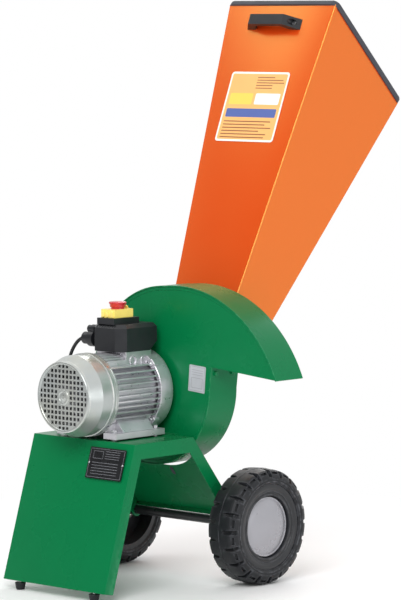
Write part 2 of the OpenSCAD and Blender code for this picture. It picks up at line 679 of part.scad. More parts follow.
module switch_flap() color(yellow) difference() {
    union() {
        block(-flap_w / 2, flap_w / 2, flap_y0, flap_y1, flap_z0, flap_z1);
        rod_x(hinge_y, hinge_z, knuckle_r, -hinge_half, hinge_half);
        block(-hinge_half, hinge_half, flap_y1 - 1, hinge_y, hinge_z - 2, hinge_z + 3);
        both_sides() block(flap_w / 2 - 8, flap_w / 2 - 3, flap_y0 - 3, flap_y0 + 1, flap_z0 + 1,
            flap_z1 - 6);
    }
    block(-flap_w / 2 + flap_t, flap_w / 2 - flap_t, flap_y0 + flap_t, flap_y1 - flap_t, flap_z0 - cut,
        flap_z1 - flap_t);
    translate([0, knob_y, flap_z0]) cylinder(d = knob_d - 10 + 2 * clear, h = 2 * flap_h);
    rod_x(hinge_y, hinge_z, hinge_pin_r + run_gap, -2 * hinge_half, 2 * hinge_half);
}
module stop_knob() color(red) translate([0, knob_y, 0]) {
    translate([0, 0, flap_z1 - 5]) rotate_extrude() polygon([
        [0, 0], [knob_d / 2 - 5, 0], [knob_d / 2 - 5, 13], [knob_d / 2, 17], [knob_d / 2, 19],
            [knob_d / 2 - 2, 20], [0, 20]]);
    translate([0, 0, button_top + end_gap]) cylinder(r = 4, h = flap_z1 - 4 - button_top - end_gap);
}
module push_button(y) block(-button_w / 2, button_w / 2, y - button_w / 2, y + button_w / 2,
    box_top - insert_drop + 6, button_top);
module start_button() color("#2f9e4f") push_button(button_y);
module stop_button() color(red) push_button(knob_y);

// Casing: a round drum that runs out into the discharge hood.
far = 800;
module hood_region() polygon([[shoulder_x, casing_z], [mouth_x0, mouth_z0],
    [mouth_x0 + 2 * (mouth_x1 - mouth_x0), mouth_z0 - 2 * mouth_drop], [far, far], [shoulder_x, far]]);
module casing_outline(inset) {
    translate([casing_x, casing_z]) circle(drum_r - inset, $fn = 128);
    polygon([[casing_x, casing_z], [casing_x + drum_r - inset, casing_z], [mouth_x0 - inset, mouth_z0],
        [casing_x, mouth_z0]]);
    intersection() {
        translate([shoulder_x, casing_z]) circle(shoulder_r - inset, $fn = 128);
        polygon([[-far, casing_z], [shoulder_x, casing_z], [shoulder_x, far], [-far, far]]);
    }
    intersection() {
        translate([hood_x, hood_z]) circle(hood_r - inset, $fn = 128);
        hood_region();
    }
}
module casing_band() difference() {
    casing_outline(0);
    casing_outline(casing_t);
}
module casing_wall() color(green) along_y(casing_y - casing_lip, casing_y1) difference() {
    casing_band();
    hood_region();
}
module discharge_hood() color(green) along_y(casing_y - casing_lip, casing_y1) intersection() {
    casing_band();
    hood_region();
}
module casing_front() color(green) difference() {
    along_y(casing_y, casing_y + casing_t) casing_outline(casing_t + seat_gap);
    rod_y(0, shaft_z, shaft_d / 2 + 4, 0, casing_y1);
}
module hopper_bolt_places() for (x = [-1, 1], z = [0, 0.5, 1])
    translate([hopper_x + x * (root_w / 2 + 6), 0,
        floor_root_z + 4 + z * (root_z - floor_root_z - 8)]) children();
module casing_back() color(green) difference() {
    along_y(casing_y1 - casing_t, casing_y1) casing_outline(casing_t + seat_gap);
    block(throat_x0, throat_x1, casing_y, casing_y1 + cut, throat_z0, throat_z1);
    hopper_bolt_places() rod_y(0, 0, 3 + clear, casing_y, casing_y1 + cut);
}
hood_bolt_in = 12;
hood_bolt_step = 52;
module hood_bolts() color(green) for (y = [0, hood_bolt_step])
    translate([mouth_x0 - drum_flare * bolt_down / mouth_up, casing_y + hood_bolt_in + y,
        mouth_z0 - bolt_down])
        rotate([0, 90 + atan(drum_flare / mouth_up), 0]) cylinder(d = 11, h = 5, $fn = 6);

// Cutter.
cutter_hub_r = 34;
disc_bolt_r = 6;
knife_r0 = 46;
knife_r1 = disc_r - 8;
knife_back = 14;
knife_edge = 16;
chip_slot = 10;
slot_inset = 4;
module cutter_hub() color(steel) difference() {
    rod_y(0, shaft_z, cutter_hub_r, hub_y0, hub_y1);
    rod_y(0, shaft_z, shaft_d / 2 + run_gap, hub_y0 - cut, hub_y1 + cut);
}
module cutter_disc() color("#8d9095") difference() {
    rod_y(0, shaft_z, disc_r, disc_y0, disc_y1);
    rod_y(0, shaft_z, disc_bolt_r, disc_y0 - cut, disc_y1 + cut);
    translate([0, 0, shaft_z]) for (k = [0:knives - 1]) rotate([0, k * 360 / knives, 0])
        block(knife_edge, knife_edge + chip_slot, disc_y0 - cut, disc_y1 + cut, knife_r0 + slot_inset,
            knife_r1 - slot_inset);
}
module knives_set() color("#d0d3d6") translate([0, 0, shaft_z]) for (k = [0:knives - 1])
    rotate([0, k * 360 / knives, 0]) block(-knife_back, knife_edge, disc_y1, disc_y1 + knife_t,
        knife_r0, knife_r1);
paddles = 4;
paddle_t = 5;
paddle_d = 34;
paddle_r0 = cutter_hub_r + 12;
module paddle_set() color("#8d9095") translate([0, 0, shaft_z]) for (k = [0:paddles - 1])
    rotate([0, 45 + k * 360 / paddles, 0]) block(-paddle_t / 2, paddle_t / 2, disc_y0 - paddle_d,
        disc_y0, paddle_r0, disc_r - 4);
module disc_bolt() color(steel) {
    rod_y(0, shaft_z, disc_bolt_r - seat_gap, hub_y1 - 2, disc_y1);
    hex_y(0, shaft_z, 3 * disc_bolt_r, disc_y1, disc_y1 + knife_t);
}
module anvil_blade() color("#d0d3d6") block(throat_x0 - 8, throat_x1 + 8, casing_y1 - casing_t - anvil_t,
    casing_y1 - casing_t, throat_z0 - 26, throat_z0);

// Hopper of folded sheet.
orange = "#ea611c";
front_n = [cos(hopper_front_lean), -sin(hopper_front_lean)];
back_n = [-cos(hopper_back_lean), sin(hopper_back_lean)];
function corner(side, yz, inset = 0) = [hopper_x + side * (half_w(yz[0], yz[1]) - inset), yz[0], yz[1]];
function step_in(yz, n) = yz + hopper_t * n;
mouth_front = [mouth_front_y, mouth_front_z];
mouth_back = [mouth_back_y, mouth_back_z];
// The inside corner of a sheet's top edge, cut off in the plane of the mouth.
mouth_n = [-mouth_dz, mouth_dy];
front_d = [sin(hopper_front_lean), cos(hopper_front_lean)];
back_d = [sin(hopper_back_lean), cos(hopper_back_lean)];
function lip_in(lip, n, d) = lip + hopper_t * (n - d * (n * mouth_n) / (d * mouth_n));
mouth_front_in = lip_in(mouth_front, front_n, front_d);
mouth_back_in = lip_in(mouth_back, back_n, back_d);
root = [root_y, root_z];
root_in = [root_y, root_z - hopper_t / sin(hopper_front_lean)];
floor_back = [floor_y, floor_z];
floor_root = [root_y, floor_root_z];
module slab(face_a, face_b) {
    n = len(face_a);
    polyhedron(concat(face_a, face_b), concat([[for (i = [0:n - 1]) i]],
        [[for (i = [0:n - 1]) 2 * n - 1 - i]],
        [for (i = [0:n - 1]) [i, n + i, n + (i + 1) % n, (i + 1) % n]]));
}
module sheet_across(p, q, pin, qin) slab([corner(-1, p), corner(-1, q), corner(1, q), corner(1, p)],
    [corner(-1, pin), corner(-1, qin), corner(1, qin), corner(1, pin)]);
module hopper_front() color(orange) sheet_across(mouth_front, root, mouth_front_in, root_in);
module hopper_back() color(orange) sheet_across(floor_back, mouth_back, step_in(floor_back, back_n),
    mouth_back_in);
side_path = [mouth_front_in, mouth_back_in, step_in(floor_back, back_n),
    floor_root + [0, hopper_t], root_in];
module hopper_side(side) slab([for (p = side_path) corner(side, p)], [for (p = side_path) corner(side,
    p, hopper_t)]);
module hopper_right() color(orange) hopper_side(1);
module hopper_left() color(orange) translate([2 * hopper_x, 0, 0]) mirror([1, 0, 0]) hopper_side(1);
module hopper_floor() color(orange) sheet_across(floor_root, floor_back, floor_root + [0, hopper_t],
    step_in(floor_back, back_n));
module hopper_flange() color(orange) difference() {
    block(hopper_x - root_w / 2 - 14, hopper_x + root_w / 2 + 14, casing_y1, root_y, floor_root_z - 10,
        root_z + 12);
    block(hopper_x - root_w / 2 + 8, hopper_x + root_w / 2 - 8, casing_y1 - cut, root_y + cut,
        floor_root_z + 4, root_z - 14);
    hopper_bolt_places() rod_y(0, 0, 3 + clear, casing_y1 - cut, root_y + cut);
}
module edge_trim() color("#3c3e44") translate([hopper_x, mouth_front_y, mouth_front_z])
    rotate([atan2(mouth_dz, mouth_dy), 0, 0]) linear_extrude(trim_h) difference() {
        translate([-mouth_w / 2 - trim_out, -trim_out]) square([mouth_w + 2 * trim_out,
            mouth_len + 2 * trim_out]);
        inner = trim_w - trim_out;
        translate([-mouth_w / 2 + inner, inner]) square([mouth_w - 2 * inner, mouth_len - 2 * inner]);
    }
handle_down = 48;
handle_shift = -5;
handle_w = 24;
grip_t = 12;
module on_hopper_front() translate([hopper_x, mouth_front_y,
    mouth_front_z]) rotate([-hopper_front_lean, 0, 0])
    translate([handle_shift, 0, -handle_down]) children();
handle_foot = 26;
grip_wall = 13;
screw_in = 14;
screw_seat = 6;
screw_head = 4;
module handle() color("#1d1e20") on_hopper_front() difference() {
    translate([0, 0, -handle_w / 2]) linear_extrude(handle_w) polygon([
        [-handle_len / 2, 0], [-grip_len / 2, -handle_h], [grip_len / 2, -handle_h], [handle_len / 2, 0],
        [handle_len / 2 - handle_foot, 0], [grip_len / 2 - grip_wall, -handle_h + grip_t],
        [-grip_len / 2 + grip_wall, -handle_h + grip_t], [-handle_len / 2 + handle_foot, 0]]);
    both_sides() translate([handle_len / 2 - screw_in, 0, 0]) {
        rod_y(0, 0, 3, -handle_h - cut, cut);
        rod_y(0, 0, 7, -handle_h - cut, -screw_seat);
    }
}
module hopper_fasteners() color(steel) {
    hopper_bolt_places() {
        rod_y(0, 0, 3, casing_y1 - casing_t, root_y);
        hex_y(0, 0, 10, root_y, root_y + 4);
    }
    on_hopper_front() both_sides() translate([handle_len / 2 - screw_in, 0, 0]) {
        rod_y(0, 0, 3, -screw_seat, 0);
        rod_y(0, 0, 5.5, -screw_seat - screw_head, -screw_seat);
    }
}

// Mains lead: out of its gland, then down past the shelf's left edge, with a plug on its end.
lead_exit = [-box_w / 2 - gland_len, gland_y, gland_z];
lead_gap = 16;
lead_x = -stand_w / 2 - lead_gap;
// The bend, each point as its share of the way out and of the bend's own drop.
lead_bend = [[0.09, 0.016], [0.192, 0.042], [0.295, 0.082], [0.385, 0.129], [0.462, 0.182], [0.526, 0.247],
    [0.603, 0.342], [0.692, 0.458], [0.788, 0.579], [0.885, 0.711], [0.968, 0.853], [1, 1]];
bend_drop = 190;
hang_drop = 140;
hang_points = 5;
lead_route = concat([lead_exit],
    [for (b = lead_bend) lead_exit + [b[0] * (lead_x - lead_exit[0]), 0, -b[1] * bend_drop]],
    [for (k = [1:hang_points]) [lead_x, gland_y, gland_z - bend_drop - k * hang_drop / hang_points]]);
lead_end = lead_route[len(lead_route) - 1];
plug_r = 21;
plug_len = 88;
relief_len = 40;
pin_r = 2.4;
pin_len = 19;
pin_spacing = 19;
lead_sides = 10;
function unit(v) = v / norm(v);
function lead_dir(i) = i == 0 ? [-1, 0, 0] : i == len(lead_route) - 1 ? [0, 0, -1]
    : unit(lead_route[i + 1] - lead_route[i - 1]);
function lead_ring(i) = let (d = lead_dir(i), u = unit(cross(d, [0, 1, 0])), v = cross(d, u))
    [for (k = [0:lead_sides - 1]) lead_route[i]
        + cord_d / 2 * (cos(k * 360 / lead_sides) * u + sin(k * 360 / lead_sides) * v)];
module mains_lead() color("#1a1b1d") {
    n = len(lead_route);
    s = lead_sides;
    polyhedron([for (i = [0:n - 1]) each lead_ring(i)], concat(
        [[for (k = [0:s - 1]) s - 1 - k]], [[for (k = [0:s - 1]) (n - 1) * s + k]],
        [for (i = [0:n - 2], k = [0:s - 1]) each [
            [i * s + k, i * s + (k + 1) % s, (i + 1) * s + (k + 1) % s],
            [i * s + k, (i + 1) * s + (k + 1) % s, (i + 1) * s + k]]]));
}
module lead_plug() color("#1a1b1d") translate(lead_end) rotate([180, 0, 0]) {
    rotate_extrude() polygon([[0, 0], [cord_d / 2 + 1, 0], [cord_d / 2 + 4, relief_len],
        [plug_r * 0.67, relief_len * 1.2], [plug_r * 0.86, plug_len * 0.66], [plug_r * 0.86, plug_len * 0.75],
        [plug_r, plug_len * 0.8], [plug_r, plug_len], [0, plug_len]]);
    both_sides() translate([pin_spacing / 2, 0, plug_len - cut]) cylinder(r = pin_r, h = pin_len + cut);
}

// Every node, and the drawing of each one by its name.
place() front_leg();
place() motor_shelf();
place() rear_leg();
place() rubber_feet();
place() stand_bolts();
place() rating_plate();
place() axle();
place() axle_spacers();
place() axle_retainers();
place() tyre_right();
place() rim_right();
place() hubcap_right();
place() bush_right();
place() tyre_left();
place() rim_left();
place() hubcap_left();
place() bush_left();
place() motor_housing();
place() drive_shield();
place() fan_shield();
place() motor_screws();
place() fan_cowl();
place() cooling_fan();
place() stator_core();
place() windings();
place() rotor_core();
place() motor_shaft();
place() motor_bearings();
place() switch_box();
place() capacitor();
place() cable_glands();
place() switch_base();
place() hinge_pin();
place() switch_flap();
place() stop_knob();
place() start_button();
place() stop_button();
place() casing_wall();
place() discharge_hood();
place() casing_front();
place() casing_back();
place() hood_bolts();
place() cutter_hub();
place() cutter_disc();
place() knives_set();
place() paddle_set();
place() disc_bolt();
place() anvil_blade();
place() hopper_front();
place() hopper_back();
place() hopper_right();
place() hopper_left();
place() hopper_floor();
place() hopper_flange();
place() hopper_fasteners();
place() edge_trim();
place() handle();
place() mains_lead();
place() lead_plug();
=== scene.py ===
"""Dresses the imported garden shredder, from its sheet metal to its lead, in a small studio."""

import json
import math

import bmesh
import bpy
from bpy.props import FloatProperty, FloatVectorProperty, IntProperty, PointerProperty
from mathutils import Matrix, Vector


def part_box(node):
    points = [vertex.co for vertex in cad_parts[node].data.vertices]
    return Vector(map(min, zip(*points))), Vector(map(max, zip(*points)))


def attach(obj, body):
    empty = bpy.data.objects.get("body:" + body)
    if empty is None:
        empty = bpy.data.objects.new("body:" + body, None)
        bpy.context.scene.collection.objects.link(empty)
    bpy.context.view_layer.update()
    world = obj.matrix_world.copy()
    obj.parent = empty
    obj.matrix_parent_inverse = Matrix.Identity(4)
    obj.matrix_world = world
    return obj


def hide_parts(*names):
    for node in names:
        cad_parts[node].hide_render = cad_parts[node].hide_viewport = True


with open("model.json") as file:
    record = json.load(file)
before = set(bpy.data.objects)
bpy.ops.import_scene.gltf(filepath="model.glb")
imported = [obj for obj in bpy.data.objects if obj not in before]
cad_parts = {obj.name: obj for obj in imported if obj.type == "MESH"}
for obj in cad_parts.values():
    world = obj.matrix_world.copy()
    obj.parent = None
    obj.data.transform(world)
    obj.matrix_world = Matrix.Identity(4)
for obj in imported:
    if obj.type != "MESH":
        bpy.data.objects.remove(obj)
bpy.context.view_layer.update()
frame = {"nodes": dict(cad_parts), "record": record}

bl_info = {
    "name": "Garden shredder",
    "version": (1, 0, 0),
    "blender": (4, 5, 0),
    "location": "3D View > Sidebar > Shredder",
    "description": "Dresses a packed garden shredder with its sheet metal, motor, wheels and finishes",
    "category": "Object",
}

node_bodies = {
    node: body
    for body, members in frame["record"]["behaviour"]["bodies"].items()
    for node in members
}
MM = 0.001


def middle(node):
    """The middle of a CAD node's box."""
    low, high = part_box(node)
    return (low + high) / 2


# The maker's axes, in millimetres: X from the axle's middle, Y from the shelf's rear edge, Z from the floor.
CASING_FRONT_Y = 14
machine_zero = Vector((middle("axle").x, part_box("casing_front")[0].y - CASING_FRONT_Y * MM, 0))


def at(x, y, z):
    """A point of the maker's axes, in metres of the frame."""
    return machine_zero + Vector((x, y, z)) * MM


def srgb(red, green, blue):
    """A colour written in screen values from 0 to 255, as scene values."""
    def linear(value):
        part = value / 255
        return part / 12.92 if part <= 0.04045 else ((part + 0.055) / 1.055) ** 2.4

    return (linear(red), linear(green), linear(blue), 1.0)


def length(name, about, value, low=0.0):
    """A size property in metres, written in millimetres."""
    return FloatProperty(
        name=name, description=about, default=value * MM, min=low * MM, subtype="DISTANCE", unit="LENGTH"
    )


def colour(name, about, red, green, blue):
    """A colour property, written in screen values."""
    return FloatVectorProperty(
        name=name, description=about, default=srgb(red, green, blue), size=4, min=0, max=1, subtype="COLOR"
    )


def share(name, about, value):
    """A property between nothing and all."""
    return FloatProperty(name=name, description=about, default=value, min=0, max=1)


class ShredderSizes(bpy.types.PropertyGroup):
    """Sizes of the forms that this file adds to the solids."""

    fold_radius: length("Fold radius", "Outside radius of the folds in the stand's sheet", 5)
    stand_sheet: length("Stand sheet", "Thickness of the stand's sheet", 3)
    casing_sheet: length("Casing sheet", "Thickness of the casing's wall", 3)
    hopper_sheet: length("Hopper sheet", "Thickness of the hopper's sheet", 2)
    hopper_lap: length("Hopper lap", "How far the front panel laps over the sides", 8)
    sheet_edge: length("Sheet edge", "Rounding of the painted sheets' cut edges", 0.6)
    cast_edge: length("Cast edge", "Rounding of cast and turned edges", 0.8)
    moulded_edge: length("Moulded edge", "Rounding of moulded plastic edges", 1.2)
    lug_count: IntProperty(
        name="Lugs", description="Lug blocks on each shoulder of a tyre", default=20, min=8
    )
    lug_depth: length("Lug depth", "Depth of the gaps between the lug blocks", 9)
    round_steps: IntProperty(
        name="Round steps", description="Facets round a turned piece", default=96, min=24, max=256
    )


class ShredderColours(bpy.types.PropertyGroup):
    """Colours of the paints, plastics and metals."""

    green_paint: colour("Green paint", "Gloss paint of the stand and casing", 2, 115, 64)
    orange_paint: colour("Orange paint", "Gloss paint of the hopper", 229, 60, 3)
    trim_rubber: colour("Trim rubber", "Edging round the hopper's mouth", 62, 64, 72)
    tyre_rubber: colour("Tyre rubber", "Rubber of the tyres and feet", 26, 28, 32)
    black_plastic: colour("Black plastic", "Rims, switch box and handle", 30, 32, 36)
    hubcap_plastic: colour("Hubcap plastic", "Grey of the hubcaps", 164, 164, 170)
    cast_aluminium: colour("Cast aluminium", "Motor body, shields and feet", 212, 211, 216)
    plated_steel: colour("Plated steel", "Zinc-plated fan cowl", 186, 191, 190)
    bright_steel: colour("Bright steel", "Bolts, screws and shaft", 205, 207, 210)
    yellow_plastic: colour("Yellow plastic", "Flap of the switch", 255, 230, 122)
    red_plastic: colour("Red plastic", "Stop knob", 198, 42, 54)
    label_ground: colour("Label ground", "Ground of the blank label", 250, 188, 112)


class ShredderStudio(bpy.types.PropertyGroup):
    """Light and floor of the studio."""

    floor_radius: FloatProperty(
        name="Floor radius", description="Radius of the round floor", default=2.4, min=1, subtype="DISTANCE"
    )
    fill_light: FloatProperty(
        name="Fill light", description="Light from all round the studio", default=0.62, min=0
    )
    front_room: share("Front room", "How bright the room in front of the object is in reflections", 0.46)
    front_dark: share("Front dark", "How bright the upper part of that room is in reflections", 0.12)
    backdrop_foot: share("Backdrop foot", "How bright the backdrop's foot is in reflections", 0.85)
    key_power: FloatProperty(
        name="Key power", description="Power of the large lamp", default=330, min=0, subtype="POWER"
    )
    lens: FloatProperty(
        name="Lens", description="Focal length of the camera in millimetres", default=202.2, min=1,
        unit="CAMERA",
    )


def sizes():
    return bpy.context.scene.shredder_sizes


def colours():
    return bpy.context.scene.shredder_colours


def studio():
    return bpy.context.scene.shredder_studio


# Node trees.


def add_node(tree, kind, inputs=None, **settings):
    """Adds a node, sets it up, and links or fills its inputs."""
    made = tree.nodes.new(kind)
    for key, value in settings.items():
        setattr(made, key, value)
    for key, value in (inputs or {}).items():
        if isinstance(value, bpy.types.NodeSocket):
            tree.links.new(value, made.inputs[key])
        else:
            made.inputs[key].default_value = value
    return made


def new_group(name, kind, inputs, outputs):
    """A node group with named sockets, and its input and output nodes."""
    tree = bpy.data.node_groups.new(name, kind)
    for label, socket, value in inputs:
        made = tree.interface.new_socket(label, in_out="INPUT", socket_type=socket)
        if value is not None:
            made.default_value = value
    for label, socket in outputs:
        tree.interface.new_socket(label, in_out="OUTPUT", socket_type=socket)
    return tree, add_node(tree, "NodeGroupInput").outputs, add_node(tree, "NodeGroupOutput").inputs


COLOUR = "NodeSocketColor"
NUMBER = "NodeSocketFloat"
WHOLE = "NodeSocketInt"
VECTOR = "NodeSocketVector"
SHAPE = "NodeSocketGeometry"
FINISH = "NodeSocketMaterial"
THING = "NodeSocketObject"
TURN = "NodeSocketRotation"


def surface_noise(tree, scale, detail=2.0, rough=0.5):
    """Noise over the piece's own coordinates, from 0 to 1."""
    place = add_node(tree, "ShaderNodeTexCoord").outputs["Object"]
    noise = add_node(
        tree, "ShaderNodeTexNoise", {"Vector": place, "Scale": scale, "Detail": detail, "Roughness": rough}
    )
    return noise.outputs["Fac"]


def spread(tree, value, low, high, to_low, to_high):
    """A value taken from one range to another, held at its ends."""
    return add_node(
        tree,
        "ShaderNodeMapRange",
        {"Value": value, "From Min": low, "From Max": high, "To Min": to_low, "To Max": to_high},
        clamp=True,
    ).outputs["Result"]


def maths(tree, operation, first, second=0.0):
    return add_node(tree, "ShaderNodeMath", {0: first, 1: second}, operation=operation).outputs["Value"]


def tone_drift():
    """Shader group: lets a colour drift a little lighter and darker over the surface."""
    tree, given, out = new_group(
        "Tone drift",
        "ShaderNodeTree",
        [("Colour", COLOUR, (0.5, 0.5, 0.5, 1)), ("Amount", NUMBER, 0.05), ("Scale", NUMBER, 8.0)],
        [("Colour", COLOUR)],
    )
    drift = spread(tree, surface_noise(tree, given["Scale"], 3.0), 0.3, 0.7, -1.0, 1.0)
    factor = maths(tree, "ADD", maths(tree, "MULTIPLY", drift, given["Amount"]), 1.0)
    toned = add_node(tree, "ShaderNodeVectorMath", {0: given["Colour"], "Scale": factor}, operation="SCALE")
    tree.links.new(toned.outputs["Vector"], out["Colour"])
    return tree


def gloss_drift():
    """Shader group: lets the gloss of a surface drift."""
    tree, given, out = new_group(
        "Gloss drift",
        "ShaderNodeTree",
        [("Roughness", NUMBER, 0.4), ("Amount", NUMBER, 0.05), ("Scale", NUMBER, 20.0)],
        [("Roughness", NUMBER)],
    )
    drift = spread(tree, surface_noise(tree, given["Scale"], 4.0), 0.3, 0.7, -1.0, 1.0)
    total = maths(tree, "ADD", maths(tree, "MULTIPLY", drift, given["Amount"]), given["Roughness"])
    tree.links.new(total, out["Roughness"])
    return tree


def fine_relief():
    """Shader group: the small ups and downs of sprayed paint, castings and moulded skins."""
    tree, given, out = new_group(
        "Fine relief",
        "ShaderNodeTree",
        [("Scale", NUMBER, 300.0), ("Detail", NUMBER, 2.0)],
        [("Height", NUMBER)],
    )
    tree.links.new(surface_noise(tree, given["Scale"], given["Detail"]), out["Height"])
    return tree


def edge_wear():
    """Shader group: a broken mask along the sharp edges, from each piece's own edge attribute."""
    tree, given, out = new_group(
        "Edge wear",
        "ShaderNodeTree",
        [("Amount", NUMBER, 0.3), ("Scale", NUMBER, 60.0)],
        [("Mask", NUMBER)],
    )
    edge = add_node(tree, "ShaderNodeAttribute", attribute_name="edge").outputs["Fac"]
    broken = spread(tree, surface_noise(tree, given["Scale"], 4.0), 0.42, 0.62, 0.0, 1.0)
    mask = maths(tree, "MULTIPLY", maths(tree, "MULTIPLY", edge, broken), given["Amount"])
    tree.links.new(mask, out["Mask"])
    return tree


def settled_dust():
    """Shader group: a thin film of dust on what faces up."""
    tree, given, out = new_group(
        "Settled dust",
        "ShaderNodeTree",
        [("Amount", NUMBER, 0.1), ("Scale", NUMBER, 25.0)],
        [("Mask", NUMBER)],
    )
    normal = add_node(tree, "ShaderNodeNewGeometry").outputs["Normal"]
    upward = add_node(tree, "ShaderNodeSeparateXYZ", {"Vector": normal}).outputs["Z"]
    lying = spread(tree, upward, 0.5, 1.0, 0.0, 1.0)
    patchy = spread(tree, surface_noise(tree, given["Scale"], 5.0), 0.35, 0.7, 0.2, 1.0)
    mask = maths(tree, "MULTIPLY", maths(tree, "MULTIPLY", lying, patchy), given["Amount"])
    tree.links.new(mask, out["Mask"])
    return tree


GROUPS = {
    "Tone drift": tone_drift,
    "Gloss drift": gloss_drift,
    "Fine relief": fine_relief,
    "Edge wear": edge_wear,
    "Settled dust": settled_dust,
}


def group_node(tree, name, inputs):
    """Places a shader group, built on first use, with its own values."""
    shared = bpy.data.node_groups.get(name) or GROUPS[name]()
    return add_node(tree, "ShaderNodeGroup", inputs, node_tree=shared).outputs


def mixed(tree, factor, first, second):
    """Two colours mixed by a mask."""
    return add_node(tree, "ShaderNodeMix", {0: factor, 6: first, 7: second}, data_type="RGBA").outputs[2]


# Each finish: colour, roughness and the values of its drifts, relief, wear and dust.
FINISHES = {
    "green_paint": dict(
        colour="green_paint", rough=0.28, spec=0.26, sheen=(0.5, 0.95, 1, 1), tone=(0.03, 5),
        gloss=(0.02, 14), relief=(0.04, 420, 2), wear=(srgb(120, 190, 150), 0.5, 70), dust=0.03,
    ),
    "orange_paint": dict(
        colour="orange_paint", rough=0.26, spec=0.8, ior=2.2, sheen=(1, 0.88, 0.22, 1), tone=(0.01, 4),
        gloss=(0.012, 12), relief=(0.03, 420, 2), wear=(srgb(255, 190, 140), 0.5, 70), dust=0.02,
    ),
    "trim_rubber": dict(
        colour="trim_rubber", rough=0.55, tone=(0.08, 18), gloss=(0.08, 40), relief=(0.25, 700, 3), dust=0.05,
    ),
    "tyre_rubber": dict(
        colour="tyre_rubber", rough=0.5, spec=0.35, tone=(0.10, 22), gloss=(0.10, 45), relief=(0.22, 600, 4),
        wear=(srgb(96, 98, 104), 0.6, 90), dust=0.06,
    ),
    "rim_plastic": dict(
        colour="black_plastic", rough=0.36, tone=(0.08, 20), gloss=(0.06, 40), relief=(0.12, 900, 2),
        wear=(srgb(90, 92, 98), 0.5, 80),
    ),
    "hubcap_plastic": dict(
        colour="hubcap_plastic", rough=0.3, metal=0.35, tone=(0.03, 14), gloss=(0.06, 30),
        relief=(0.05, 900, 2), wear=(srgb(225, 225, 230), 0.4, 60),
    ),
    "bush_plastic": dict(colour=(0.62, 0.59, 0.51, 1), rough=0.45, tone=(0.05, 40), gloss=(0.05, 60)),
    "axle_black": dict(
        colour=(0.022, 0.023, 0.026, 1), rough=0.35, tone=(0.1, 30), gloss=(0.08, 50), relief=(0.08, 600, 2),
        wear=(srgb(130, 130, 135), 0.6, 80),
    ),
    "cast_aluminium": dict(
        colour="cast_aluminium", rough=0.36, metal=0.78, tone=(0.05, 45), gloss=(0.10, 90),
        relief=(0.35, 650, 5), wear=(srgb(235, 235, 238), 0.7, 120),
    ),
    "plated_cowl": dict(
        colour="plated_steel", rough=0.34, metal=0.72, tone=(0.07, 16), gloss=(0.06, 35),
        relief=(0.04, 260, 2), wear=(srgb(250, 248, 238), 0.5, 70), tint=(srgb(196, 186, 150), 9),
    ),
    "bright_steel": dict(
        colour="bright_steel", rough=0.26, metal=1.0, tone=(0.06, 60), gloss=(0.08, 120),
        relief=(0.06, 900, 2),
    ),
    "blade_steel": dict(
        colour=(0.52, 0.53, 0.55, 1), rough=0.3, metal=1.0, tone=(0.08, 50), gloss=(0.1, 90),
        relief=(0.1, 500, 4),
    ),
    "core_steel": dict(
        colour=(0.12, 0.125, 0.135, 1), rough=0.5, metal=0.8, tone=(0.1, 60), gloss=(0.08, 90),
    ),
    "copper": dict(colour=(0.36, 0.11, 0.04, 1), rough=0.35, metal=0.8, tone=(0.15, 80), gloss=(0.08, 90)),
    "black_plastic": dict(
        colour="black_plastic", rough=0.42, tone=(0.08, 24), gloss=(0.08, 50), relief=(0.2, 1100, 3),
        wear=(srgb(92, 94, 100), 0.4, 90), dust=0.03,
    ),
    "yellow_plastic": dict(
        colour="yellow_plastic", rough=0.32, coat=0.2, tone=(0.04, 40), gloss=(0.05, 60),
        wear=(srgb(255, 240, 170), 0.4, 90),
    ),
    "red_plastic": dict(
        colour="red_plastic", rough=0.28, coat=0.2, tone=(0.05, 40), gloss=(0.05, 60),
        wear=(srgb(240, 120, 120), 0.4, 90),
    ),
    "green_plastic": dict(colour=srgb(47, 158, 79), rough=0.35, tone=(0.05, 40), gloss=(0.05, 60)),
    "lead_rubber": dict(
        colour=(0.012, 0.0125, 0.0135, 1), rough=0.48, tone=(0.1, 60), gloss=(0.08, 80),
        relief=(0.15, 1400, 3),
    ),
    "label_ground": dict(colour="label_ground", rough=0.4, tone=(0.02, 20), gloss=(0.05, 40)),
    "label_white": dict(colour=srgb(246, 244, 238), rough=0.4, tone=(0.02, 20), gloss=(0.05, 40)),
    "label_line": dict(colour=srgb(150, 88, 58), rough=0.4, tone=(0.03, 20), gloss=(0.05, 40)),
    "label_yellow": dict(colour=srgb(250, 214, 92), rough=0.4, tone=(0.03, 20), gloss=(0.05, 40)),
    "label_blue": dict(colour=srgb(84, 104, 170), rough=0.4, tone=(0.03, 20), gloss=(0.05, 40)),
    "plate_black": dict(colour=srgb(26, 27, 30), rough=0.3, tone=(0.06, 30), gloss=(0.06, 60)),
    "plate_grey": dict(colour=srgb(196, 200, 204), rough=0.34, metal=0.3, tone=(0.04, 30), gloss=(0.06, 60)),
    "plate_mark": dict(colour=srgb(150, 152, 158), rough=0.4, tone=(0.04, 30), gloss=(0.05, 60)),
}

# Shader inputs that a finish may set: the socket, the finish's word for it and its usual value.
SHADER_VALUES = (
    ("Metallic", "metal", 0.0),
    ("Specular IOR Level", "spec", 0.5),
    ("IOR", "ior", 1.5),
    ("Specular Tint", "sheen", (1, 1, 1, 1)),
    ("Coat Weight", "coat", 0.0),
    ("Coat Roughness", "coat_rough", 0.12),
)
# How far a bump of the fine relief stands up, in metres.
RELIEF_HEIGHT = 0.0004
DUST_COLOUR, DUST_SCALE = (0.6, 0.58, 0.54, 1), 25.0
# Where the clouds of a second tint begin and are full, and how much of it they then show.
TINT_START, TINT_FULL, TINT_MOST = 0.45, 0.7, 0.3


